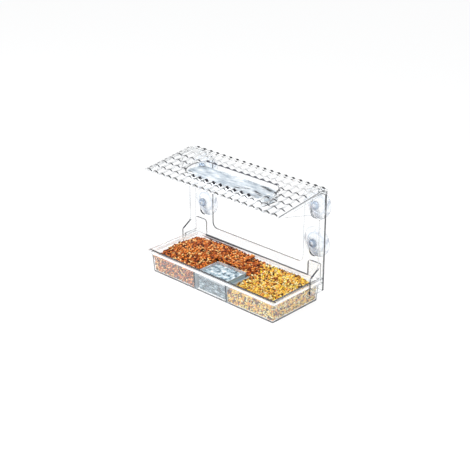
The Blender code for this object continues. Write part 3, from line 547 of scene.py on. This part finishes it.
def together(tree, *masks):
    """The share in which all the masks hold."""
    whole = masks[0]
    for mask in masks[1:]:
        whole = calculate(tree, "MULTIPLY", whole, mask)
    return whole


def inverse(tree, mask):
    """1 where the mask is 0."""
    return calculate(tree, "SUBTRACT", 1.0, mask)


def where(tree, surface, place):
    """The share in which a surface's measures are within all of a place's limits, one or a list for each."""
    masks = []
    for name, limits in place.items():
        for limit in limits if isinstance(limits, list) else [limits]:
            mask = band if isinstance(limit, Band) else rise
            masks.append(mask(tree, getattr(surface, name), *limit))
    return together(tree, *masks)


def anywhere(tree, surface, places):
    """The share in which a surface's measures are within any of the places."""
    whole = where(tree, surface, places[0])
    for place in places[1:]:
        whole = calculate(tree, "MAXIMUM", whole, where(tree, surface, place))
    return whole


def tinted(tree, colour, mask, tint, blend="MIX"):
    """The colour, with a tint over it where the mask holds."""
    node = add_node(tree, "ShaderNodeMix", data_type="RGBA", blend_type=blend)
    if not isinstance(tint, bpy.types.NodeSocket):
        tint = (*tint, 1.0)
    set_inputs(tree, node, Factor=mask, A=colour, B=tint)
    return node.outputs["Result"]


def edge_mask(tree, radius):
    """1 near a sharp edge and 0 on flats, from how far a rounded edge would turn the surface."""
    rounded = add_node(tree, "ShaderNodeBevel", samples=BEVEL_SAMPLES)
    set_inputs(tree, rounded, Radius=radius)
    flat = add_node(tree, "ShaderNodeNewGeometry")
    dot = add_node(tree, "ShaderNodeVectorMath", operation="DOT_PRODUCT")
    fill_socket(tree, dot.inputs[0], rounded.outputs["Normal"])
    fill_socket(tree, dot.inputs[1], flat.outputs["Normal"])
    return rise(tree, dot.outputs["Value"], *EDGE_TURN)


def shadow_clearing(tree, clearness):
    """Alpha that lets light through to what lies behind, and is whole for every other ray."""
    path = add_node(tree, "ShaderNodeLightPath")
    alpha = add_node(tree, "ShaderNodeMapRange")
    set_inputs(
        tree, alpha, Value=path.outputs["Is Shadow Ray"], From_Min=0.0, From_Max=1.0, To_Min=1.0,
        To_Max=1.0 - clearness,
    )
    return alpha.outputs["Result"]


def seen(tree, path):
    """1 for rays that come from the camera straight or through clear plastic."""
    return calculate(tree, "MAXIMUM", path.outputs["Is Camera Ray"], path.outputs["Is Transmission Ray"])


def show(tree, shader, kind="ShaderNodeOutputMaterial"):
    """Links a shader to the tree's output."""
    set_inputs(tree, add_node(tree, kind), Surface=shader)


def show_principled(tree, **inputs):
    """Makes a Principled shader with these inputs the material's surface."""
    shader = add_node(tree, "ShaderNodeBsdfPrincipled")
    set_inputs(tree, shader, **inputs)
    show(tree, shader.outputs["BSDF"])


class Surface:
    """Measures of a piece's surface that tell places on it, each worked out once a line asks for it."""

    def __init__(self, tree, edge_width, plain):
        self.tree = tree
        place = add_node(tree, "ShaderNodeTexCoord")
        self.x, self.y, self.z = parts(tree, place.outputs["Object"])
        self.edge = edge_mask(tree, edge_width)
        if plain:
            self.edge = together(tree, self.edge, inverse(tree, anywhere(tree, self, plain)))

    def calculate(self, operation, *values):
        """One arithmetic step in the surface's tree."""
        return calculate(self.tree, operation, *values)

    @cached_property
    def from_middle(self):
        """Distance from the middle along X."""
        return self.calculate("ABSOLUTE", self.x)

    @cached_property
    def facing(self):
        """X, Y and Z of the direction that the surface faces."""
        geometry = add_node(self.tree, "ShaderNodeNewGeometry")
        return parts(self.tree, geometry.outputs["True Normal"])

    @property
    def facing_x(self):
        """1 where the surface faces right, and -1 where it faces left."""
        return self.facing[0]

    @property
    def facing_y(self):
        """1 where the surface faces the rear, and -1 where it faces the front."""
        return self.facing[1]


class RoofSurface(Surface):
    """Measures of the tiles."""

    @cached_property
    def across_barrel(self):
        """How far across its barrel a place is, from 0 at the left rib to 1 at the right."""
        barrels = self.calculate("DIVIDE", self.calculate("SUBTRACT", self.x, FIRST_RIB_X), TILE_PITCH)
        return self.calculate("FRACT", barrels)

    @cached_property
    def up_row(self):
        """How far up its row a place is, from 0 at a tile's lower end to 1 at the next."""
        rows = self.calculate("DIVIDE", self.calculate("SUBTRACT", self.y, ROOF_LOW.y), ROW_PITCH)
        return self.calculate("FRACT", rows)

    @cached_property
    def up_half_row(self):
        """How far up its half of a row a place is, from 0 to 1."""
        return self.calculate("FRACT", self.calculate("MULTIPLY", self.up_row, HALVES))

    @cached_property
    def leaning_y(self):
        """Y, but leaning across each barrel as the painted glint dashes do."""
        off_middle = self.calculate("SUBTRACT", self.across_barrel, DASH_MIDDLE)
        return self.calculate("MULTIPLY_ADD", off_middle, DASH_LEAN, self.y)

    @cached_property
    def arch(self):
        """How high the barrels arch."""
        turn = self.calculate("MULTIPLY", self.across_barrel, math.tau)
        return self.calculate("MULTIPLY", inverse(self.tree, self.calculate("COSINE", turn)), TILE_CROWN / 2)

    def height_over(self, slope):
        """Height over a plain slope that starts from the ridge."""
        base = self.calculate("MULTIPLY_ADD", self.calculate("SUBTRACT", self.y, RIDGE_Y), slope, RIDGE_Z)
        return self.calculate("SUBTRACT", self.z, base)

    @cached_property
    def over_slope(self):
        """Height over the roof's plain slope, before the ridge."""
        return self.height_over(FRONT_SLOPE)

    @cached_property
    def over_tiles(self):
        """Height over the barrels of a tile's lower end, before the ridge."""
        return self.calculate("SUBTRACT", self.over_slope, self.arch)

    @cached_property
    def over_rear_tiles(self):
        """Height over the barrels of a tile's lower end, behind the ridge."""
        return self.calculate("SUBTRACT", self.height_over(REAR_SLOPE), self.arch)

    @cached_property
    def nearness(self):
        """1 on the near rows, and less on the far ones, whose lines are fainter."""
        near = rise(self.tree, self.y, *FAR_ROWS_Y)
        return self.calculate("MULTIPLY_ADD", near, 1 - FAR_ROWS_SHARE, FAR_ROWS_SHARE)

    @cached_property
    def tile_front(self):
        """1 on the faces at the lower ends of tiles."""
        return where(self.tree, self, TILE_FRONT)


class TraySurface(Surface):
    """Measures of the tray."""

    @cached_property
    def over_rear_line(self):
        """Height over the foot of the rear rim's line, which climbs to the right."""
        climb = rise(self.tree, self.x, *REAR_LINE_X)
        return self.calculate(
            "SUBTRACT", self.z, self.calculate("MULTIPLY_ADD", climb, REAR_LINE_RISE, REAR_LINE_Z),
        )


class FrameSurface(Surface):
    """Measures of the back frame."""

    @cached_property
    def over_cheek(self):
        """Height over the slope at the front of the cheeks."""
        above = self.calculate("SUBTRACT", self.z, CHEEK_FOOT_Z)
        behind = self.calculate("SUBTRACT", self.y, CHEEK_FOOT_Y)
        return self.calculate("MULTIPLY_ADD", behind, -CHEEK_SLOPE, above)

    @cached_property
    def keyhole_line(self):
        """1 on the dark line of a keyhole: the foot of each, and the left side of one."""
        whole = 0.0
        for node in CUP_NODES:
            low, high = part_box(node)
            x = self.calculate("SUBTRACT", self.x, (low.x + high.x) / 2)
            z = self.calculate("SUBTRACT", self.z, (low.z + high.z) / 2 - KEYHOLE_DROP)
            keyhole = Keyhole(x, z, length(self.tree, x, z))
            places = [KEYHOLE_FOOT, KEYHOLE_SIDE] if node == DARK_KEYHOLE_CUP else [KEYHOLE_FOOT]
            whole = self.calculate("MAXIMUM", anywhere(self.tree, keyhole, places), whole)
        return whole


class DishSurface(Surface):
    """Measures of the dish."""

    @cached_property
    def swirl(self):
        """The swirls in the dish's walls."""
        return object_noise(self.tree, DISH_SWIRL)


class CupSurface(Surface):
    """Measures of a suction cup."""

    @cached_property
    def swirl(self):
        """The swirls in the soft plastic."""
        return object_noise(self.tree, CUP_SWIRL)

    @cached_property
    def reach(self):
        """Distance from the cup's axis."""
        return length(self.tree, self.x, self.z)


def clear_plastic(name, plastic, kind, lines, plain=()):
    """Polished clear moulding: see-through faces, edges darkened with painted refraction, and lines that have
    tints of their own.

    Kind is the class of its surface, and plain gives the places where its edges stay clear.
    """
    material, tree = new_material(name)
    surface = kind(tree, plastic.edge_width, plain)
    waves = object_noise(tree, PLASTIC_WAVES)
    faces = ramp(tree, waves, ((TINTED_WAVE, plastic.tint), (CLEAR_WAVE, WHITE)))
    # Painted dark refraction along the edges
    colour = tinted(tree, faces, surface.edge, plastic.edge_tint)
    clearness = inverse(tree, calculate(tree, "MULTIPLY", inverse(tree, surface.edge), plastic.haze))
    for line in lines.values():
        mask = anywhere(tree, surface, line.places)
        tint = line.tint
        if isinstance(tint, Shades):
            tint = ramp(tree, getattr(surface, tint.by), tint.stops)
        colour = tinted(tree, colour, mask, tint)
        clearness = together(tree, clearness, inverse(tree, calculate(tree, "MULTIPLY", mask, line.solid)))
    show_principled(
        tree, Base_Color=colour, Roughness=plastic.roughness, IOR=plastic.index,
        Transmission_Weight=clearness, Alpha=shadow_clearing(tree, PLASTIC_SHADOW_CLEARNESS),
        Normal=bump(tree, waves, *PLASTIC_BUMP),
    )
    return material


def water(name, pattern, stops, streaks=()):
    """Pale water with patches of its tint, painted reflections and highlights, and painted darker reflections
    at the given places.
    """
    material, tree = new_material(name)
    patches = object_noise(tree, pattern)
    # The patches ramp between the water's tint, painted reflections and painted highlights
    colour = ramp(tree, patches, stops)
    place = add_node(tree, "ShaderNodeTexCoord")
    x, y, _ = parts(tree, place.outputs["Object"])
    for (centre_x, centre_y), (half_x, half_y), lean in streaks:
        off_x = calculate(tree, "SUBTRACT", x, centre_x)
        off_y = calculate(tree, "MULTIPLY_ADD", off_x, -lean, calculate(tree, "SUBTRACT", y, centre_y))
        spot = together(
            tree, band(tree, off_x, 0.0, half_x / 2, half_x / 2),
            band(tree, off_y, 0.0, half_y / 2, half_y / 2), rise(tree, patches, *STREAK_PATCHES),
        )
        # Painted dark reflections
        colour = tinted(tree, colour, spot, STREAK_COLOUR)
    ripple = object_noise(tree, Noise(pattern.scale * BUMP_FINENESS, BUMP_DETAIL, stretch=pattern.stretch))
    show_principled(
        tree, Base_Color=colour, Roughness=WATER_ROUGHNESS, IOR=WATER_INDEX,
        Transmission_Weight=WATER_CLEARNESS, Alpha=shadow_clearing(tree, WATER_SHADOW_CLEARNESS),
        Normal=bump(tree, ripple, *WATER_BUMP),
    )
    return material


def grain_skin(name):
    """Dry grain: each grain has its own colour with painted shade, from its attribute, with a mottled skin.
    """
    material, tree = new_material(name)
    own = add_node(tree, "ShaderNodeAttribute", attribute_name=GRAIN_TONE_AND_SHADE)
    mottle = object_noise(tree, GRAIN_MOTTLE)
    colour = tinted(tree, own.outputs["Color"], 1.0, ramp(tree, mottle, MOTTLE_STOPS), "MULTIPLY")
    show_principled(
        tree, Base_Color=colour, Roughness=GRAIN_ROUGHNESS, Specular_IOR_Level=GRAIN_SHINE,
        Normal=bump(tree, mottle, *GRAIN_BUMP),
    )
    return material


def white_ground():
    """A pale floor that renders white and takes a faint shadow."""
    material, tree = new_material("pale_floor")
    path = add_node(tree, "ShaderNodeLightPath")
    diffuse = add_node(tree, "ShaderNodeBsdfDiffuse")
    set_inputs(tree, diffuse, Color=(*FLOOR_GREY, 1.0))
    glow = add_node(tree, "ShaderNodeEmission")
    set_inputs(tree, glow, Strength=FLOOR_GLOW)
    mix = add_node(tree, "ShaderNodeMixShader")
    set_inputs(tree, mix, Fac=calculate(tree, "MULTIPLY", seen(tree, path), FLOOR_GLOW_SHARE))
    fill_socket(tree, mix.inputs[1], diffuse.outputs["BSDF"])
    fill_socket(tree, mix.inputs[2], glow.outputs["Emission"])
    show(tree, mix.outputs["Shader"])
    return material


def add_object(name, data):
    """A new object in the scene."""
    thing = bpy.data.objects.new(name, data)
    bpy.context.scene.collection.objects.link(thing)
    return thing


def stand_in(piece, body, node):
    """Makes a piece move with a body and stand for a CAD node."""
    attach(piece, body)
    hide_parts(node)


def shade_smooth(data):
    """Shades every face smooth."""
    for polygon in data.polygons:
        polygon.use_smooth = True


def welded(node):
    """A working copy of a CAD node's mesh with its shared corners joined."""
    mesh = bmesh.new()
    mesh.from_mesh(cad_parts[node].data)
    bmesh.ops.remove_doubles(mesh, verts=mesh.verts, dist=WELD)
    return mesh


def finish_piece(name, mesh, material, body, node, centre=Vector()):
    """Makes the working mesh a smooth piece with its origin at a centre, which stands for a CAD node."""
    bmesh.ops.translate(mesh, verts=mesh.verts, vec=-centre)
    data = bpy.data.meshes.new(name)
    mesh.to_mesh(data)
    mesh.free()
    if IMPORTED_NORMALS in data.attributes:
        data.attributes.remove(data.attributes[IMPORTED_NORMALS])
    shade_smooth(data)
    data.set_sharp_from_angle(angle=math.radians(SMOOTH_DEGREES))
    data.materials.append(material)
    piece = add_object(name, data)
    piece.location = centre
    stand_in(piece, body, node)


def make_ripples(name, node, body, material, seed):
    """Water with a rippled surface: the solid cut into cells, with its top moved inside its border."""
    mesh = welded(node)
    low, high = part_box(node)
    for axis in (0, 1):
        count = int((high[axis] - low[axis]) / RIPPLE_CELL)
        across = Vector()
        across[axis] = 1.0
        for step in range(1, count):
            middle = Vector()
            middle[axis] = low[axis] + (high[axis] - low[axis]) * step / count
            whole = mesh.verts[:] + mesh.edges[:] + mesh.faces[:]
            bmesh.ops.bisect_plane(mesh, geom=whole, plane_co=middle, plane_no=across)
    mesh.normal_update()
    inside = [corner for corner in mesh.verts if all(face.normal.z > LEVEL for face in corner.link_faces)]
    for corner in inside:
        place = Vector((corner.co.x / RIPPLE_LENGTH, corner.co.y / RIPPLE_WIDTH, seed))
        corner.co.z += RIPPLE_HEIGHT * noise.fractal(place, *RIPPLE_OCTAVES)
    finish_piece(name, mesh, material, body, node)


def node_surface(node):
    """A CAD node's surface, to measure places on."""
    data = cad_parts[node].data
    corners = [corner.co.copy() for corner in data.vertices]
    return BVHTree.FromPolygons(corners, [tuple(polygon.vertices) for polygon in data.polygons])


def scattered_places(node, spacing, seed):
    """Random places on a bed's top and sides that keep a spacing, each with its outward normal."""
    rng = random.Random(seed)
    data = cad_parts[node].data
    corners = [corner.co for corner in data.vertices]
    cells = {}
    places = []
    for polygon in data.polygons:
        normal = polygon.normal
        if normal.z < -UPWARD:
            continue
        first, second, third = (corners[index] for index in polygon.vertices[:3])
        tries = TRIES_PER_AREA * polygon.area / spacing ** 2
        count = int(tries) + (rng.random() < tries % 1)
        for _ in range(count):
            u, v = rng.random(), rng.random()
            if u + v > 1:
                u, v = 1 - u, 1 - v
            point = first + (second - first) * u + (third - first) * v
            key = tuple(int(math.floor(part / spacing)) for part in point)
            near = (
                other
                for dx in (-1, 0, 1) for dy in (-1, 0, 1) for dz in (-1, 0, 1)
                for other in cells.get((key[0] + dx, key[1] + dy, key[2] + dz), ())
            )
            if any((point - other).length_squared < spacing ** 2 for other in near):
                continue
            cells.setdefault(key, []).append(point)
            places.append((point, normal.copy()))
    return places


def grain_shape():
    """Points and faces of one rounded grain of unit length and girth, along X."""
    points = []
    rings = []
    for share in GRAIN_RINGS:
        along = share - 0.5
        girth = math.sqrt(max(0.0, 1 - (2 * along) ** 2)) / 2
        if girth == 0:
            rings.append([len(points)])
            points.append(Vector((along, 0, 0)))
            continue
        ring = []
        for side in range(GRAIN_SIDES):
            turn = math.tau * side / GRAIN_SIDES
            ring.append(len(points))
            points.append(Vector((along, girth * math.cos(turn), girth * math.sin(turn))))
        rings.append(ring)
    faces = []
    for lower, upper in zip(rings, rings[1:]):
        for side in range(GRAIN_SIDES):
            following = (side + 1) % GRAIN_SIDES
            if len(lower) == 1:
                faces.append((lower[0], upper[following], upper[side]))
            elif len(upper) == 1:
                faces.append((lower[side], lower[following], upper[0]))
            else:
                faces.append((lower[side], lower[following], upper[following], upper[side]))
    return points, faces


def pick(rng, shades):
    """One colour from the table, by how common each is, with a little of its own lightness."""
    total = sum(weight for _, weight in shades)
    mark = rng.random() * total
    for colour, weight in shades:
        mark -= weight
        if mark <= 0:
            break
    light = rng.uniform(*GRAIN_LIGHTNESS)
    return tuple(min(1.0, part * light) for part in colour)


def brown_kind(rng, _):
    """Size and colour of a brown grain, which is the same kind at every place."""
    return GRAIN_SIZE, pick(rng, BROWN_GRAINS)


def mixed_kind(rng, point):
    """Size and colour of a grain of the mixed feed: brown near the middle, else yellow or corn."""
    share = (point.y - DISH_HIGH.y) / (TRAY_HIGH.y - DISH_HIGH.y)
    border = SPILL_MIDDLE_X + (SPILL_REAR_X - SPILL_MIDDLE_X) * max(0.0, share)
    if point.y > DISH_HIGH.y and point.x < border + rng.uniform(-1, 1) * SPILL_LOOSENESS:
        return brown_kind(rng, point)
    if rng.random() < CORN_SHARE:
        return CORN_SIZE, CORN_COLOUR
    return GRAIN_SIZE, pick(rng, YELLOW_GRAINS)


class LooseFeed:
    """The grains of one bed while they are gathered: their points, faces, and colours with painted shade."""

    def __init__(self, node, kind, seed):
        self.rng = random.Random(seed)
        self.node = node
        self.kind = kind
        self.seed = seed
        self.solid = node_surface(node)
        self.floor_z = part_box(node)[0].z
        self.unit_points, self.unit_faces = grain_shape()
        self.points, self.faces, self.shades = [], [], []

    def add_grain(self, point, normal, offset, tilt):
        """Adds a grain of the kind that lies at a point, set off along the normal and turned at random."""
        size, colour = self.kind(self.rng, point)
        centre = point + normal * offset
        ahead = Vector([self.rng.uniform(-1, 1) for _ in range(3)])
        ahead = (ahead - normal * ahead.dot(normal)).normalized()
        ahead = (ahead + normal * self.rng.uniform(-tilt, tilt)).normalized()
        side = normal.cross(ahead).normalized()
        up = ahead.cross(side)
        grow = self.rng.uniform(*GRAIN_GROWTH)
        base = len(self.points)
        for corner in self.unit_points:
            out = ahead * corner.x * size.x + side * corner.y * size.y + up * corner.z * size.z
            self.points.append(self.kept_inside(centre + grow * out))
            # Painted shade: a corner is lit less the lower it lies on the grain, and warmer in that shade
            height = max(0.0, min(1.0, PAINTED_LIGHT_MIDDLE + PAINTED_LIGHT_RISE * corner.z))
            light = PAINTED_UNDERSIDE_LIGHT + (1 - PAINTED_UNDERSIDE_LIGHT) * height
            self.shades.append((*(part * light ** warmth for part, warmth in zip(colour, PAINTED_SHADE_WARMTH)), 1.0))
        self.faces.extend(tuple(base + index for index in face) for face in self.unit_faces)

    def kept_inside(self, place):
        """The place, moved back to the bed's walls or floor if it is past them, but not over the divider."""
        if abs(place.x) < 2 * BRIDGE_HALF and place.z > BRIDGE_Z - GRAIN_SIZE.z:
            return place
        place.z = max(place.z, self.floor_z)
        near, outward, _, _ = self.solid.find_nearest(place)
        if abs(outward.z) < UPWARD and (place - near).dot(outward) > 0:
            return near
        return place

    def cover_bed(self):
        """Lays grains over the bed's top in layers, and one layer against its walls."""
        for layer, (lift, tilt) in enumerate(GRAIN_LAYERS):
            spacing = GRAIN_SPACING * TOP_LAYER_SPREAD ** layer
            for point, normal in scattered_places(self.node, spacing, self.seed + layer):
                if normal.z > UPWARD:
                    self.add_grain(point, normal, lift, tilt)
                elif layer == 0:
                    self.add_grain(point, normal, -GRAIN_WALL_DEPTH, GRAIN_WALL_TILT)

    def cover_divider(self):
        """Lays a run of grains over the divider behind the dish, and one beside it."""
        bridge_rear = DISH_HIGH.y + (TRAY_HIGH.y - DISH_HIGH.y) * BRIDGE_SHARE
        for step in range(BRIDGE_GRAINS):
            y = DISH_HIGH.y + (bridge_rear - DISH_HIGH.y) * (step + 0.5) / BRIDGE_GRAINS
            on_divider = self.rng.uniform(-1, 1) * BRIDGE_HALF / 2
            for x, z in ((on_divider, BRIDGE_Z), (BRIDGE_SIDE, BRIDGE_SIDE_Z)):
                self.add_grain(Vector((x, y, z)), Vector((0, 0, 1)), 0.0, BRIDGE_TILT)

    def add_gap_shade(self):
        """Fills the bed below its grains with a dark core, painted shade that shows in the gaps between
        grains.
        """
        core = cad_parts[self.node].data
        base = len(self.points)
        for corner in core.vertices:
            self.points.append(corner.co - corner.normal * GAP_SHADE_DEPTH)
            # Painted shade: the core is dark so the gaps between grains read as shadow
            self.shades.append((*GAP_SHADE_COLOUR, 1.0))
        self.faces.extend(tuple(base + index for index in polygon.vertices) for polygon in core.polygons)

    def finish(self, name, material):
        """Joins all that was gathered into one piece."""
        data = bpy.data.meshes.new(name)
        data.from_pydata(self.points, [], self.faces)
        colour = data.color_attributes.new(GRAIN_TONE_AND_SHADE, "FLOAT_COLOR", "POINT")
        colour.data.foreach_set("color", [part for shade in self.shades for part in shade])
        shade_smooth(data)
        data.materials.append(material)
        stand_in(add_object(name, data), "tray", self.node)


def add_floor():
    """The floor that the tray stands on."""
    half = FLOOR_HALF
    data = bpy.data.meshes.new("floor")
    corners = [(-half, -half, 0), (half, -half, 0), (half, half, 0), (-half, half, 0)]
    data.from_pydata(corners, [], [(0, 1, 2, 3)])
    data.materials.append(white_ground())
    floor = add_object("floor", data)
    floor.location.z = -FLOOR_DROP


def set_world():
    """A soft pale room: white behind the object, and a quiet gradient in reflections."""
    world = bpy.data.worlds.new("studio")
    bpy.context.scene.world = world
    world.use_nodes = True
    tree = world.node_tree
    tree.nodes.clear()
    place = add_node(tree, "ShaderNodeTexCoord")
    sky = ramp(tree, parts(tree, place.outputs["Generated"])[2], SKY_STOPS)
    path = add_node(tree, "ShaderNodeLightPath")
    glossy = calculate(tree, "MULTIPLY", path.outputs["Is Glossy Ray"], GLOSS_SHARE)
    white = calculate(tree, "MAXIMUM", seen(tree, path), glossy)
    background = add_node(tree, "ShaderNodeBackground")
    set_inputs(tree, background, Color=tinted(tree, sky, white, WHITE), Strength=ROOM_STRENGTH)
    show(tree, background.outputs["Background"], "ShaderNodeOutputWorld")


def add_area_light(name, place, aim, size, watts):
    """A soft rectangular lamp pointed at a place."""
    data = bpy.data.lights.new(name, "AREA")
    data.shape = "RECTANGLE"
    data.size, data.size_y = size
    data.energy = watts
    lamp = add_object(name, data)
    lamp.location = place
    lamp.rotation_euler = (Vector(aim) - Vector(place)).to_track_quat("-Z", "Y").to_euler()


def add_camera():
    """The camera at the photograph's place, looking at the feeder."""
    data = bpy.data.cameras.new("photo_camera")
    data.lens = CAMERA_LENS
    data.sensor_width = CAMERA_SENSOR
    data.clip_start = CAMERA_CLIP
    camera = add_object("photo_camera", data)
    camera.location = CAMERA_PLACE
    camera.rotation_euler = (CAMERA_AIM - CAMERA_PLACE).to_track_quat("-Z", "Y").to_euler()
    bpy.context.scene.camera = camera


def dress(node, material):
    """Gives a CAD node its finish."""
    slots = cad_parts[node].data.materials
    slots.clear()
    slots.append(material)


def make_mouldings():
    """Dresses the frame, the tray and the dish, and makes the roof smooth."""
    dress("back_frame", clear_plastic("frame_plastic", FRAME_PLASTIC, FrameSurface, FRAME_LINES))
    dress("tray", clear_plastic("tray_plastic", TRAY_PLASTIC, TraySurface, TRAY_LINES, TRAY_PLAIN))
    dress("water_dish", clear_plastic("dish_plastic", DISH_PLASTIC, DishSurface, DISH_LINES))
    tiles = clear_plastic("roof_plastic", ROOF_PLASTIC, RoofSurface, ROOF_LINES, ROOF_PLAIN)
    finish_piece("roof_moulding", welded("roof"), tiles, "frame", "roof")


def make_cups():
    """Makes each suction cup smooth, with its own origin on its axis at the frame's rear."""
    soft = clear_plastic("soft_clear_plastic", CUP_PLASTIC, CupSurface, CUP_LINES)
    for node in CUP_NODES:
        low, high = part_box(node)
        centre = Vector(((low.x + high.x) / 2, FRAME_HIGH.y, (low.z + high.z) / 2))
        body = node.replace("suction_", "")
        finish_piece(node + "_moulding", welded(node), soft, body, node, centre)


def make_waters():
    """Makes the water in the bath and in the dish."""
    bath = water("bath_water_look", BATH_PATCHES, BATH_TINT_REFLECTION_STOPS, BATH_STREAKS)
    make_ripples("bath_ripples", "bath_water", "frame", bath, BATH_RIPPLE_SEED)
    dish = water("dish_water_look", DISH_PATCHES, DISH_TINT_REFLECTION_STOPS)
    make_ripples("dish_ripples", "dish_water", "dish", dish, DISH_RIPPLE_SEED)


def make_feed():
    """Makes the loose feed of both beds; the brown one also covers the divider."""
    skin = grain_skin("dry_grain")
    left = LooseFeed("feed_bed_left", brown_kind, LEFT_FEED_SEED)
    left.cover_bed()
    left.cover_divider()
    left.add_gap_shade()
    left.finish("grains_left", skin)
    right = LooseFeed("feed_bed_right", mixed_kind, RIGHT_FEED_SEED)
    right.cover_bed()
    right.add_gap_shade()
    right.finish("grains_right", skin)


def build():
    """Sets the studio up, then makes the looks of every piece."""
    bpy.context.scene.view_settings.view_transform = "Standard"
    add_camera()
    add_floor()
    set_world()
    for lamp in LAMPS:
        add_area_light(*lamp)
    make_mouldings()
    make_cups()
    make_waters()
    make_feed()


build()
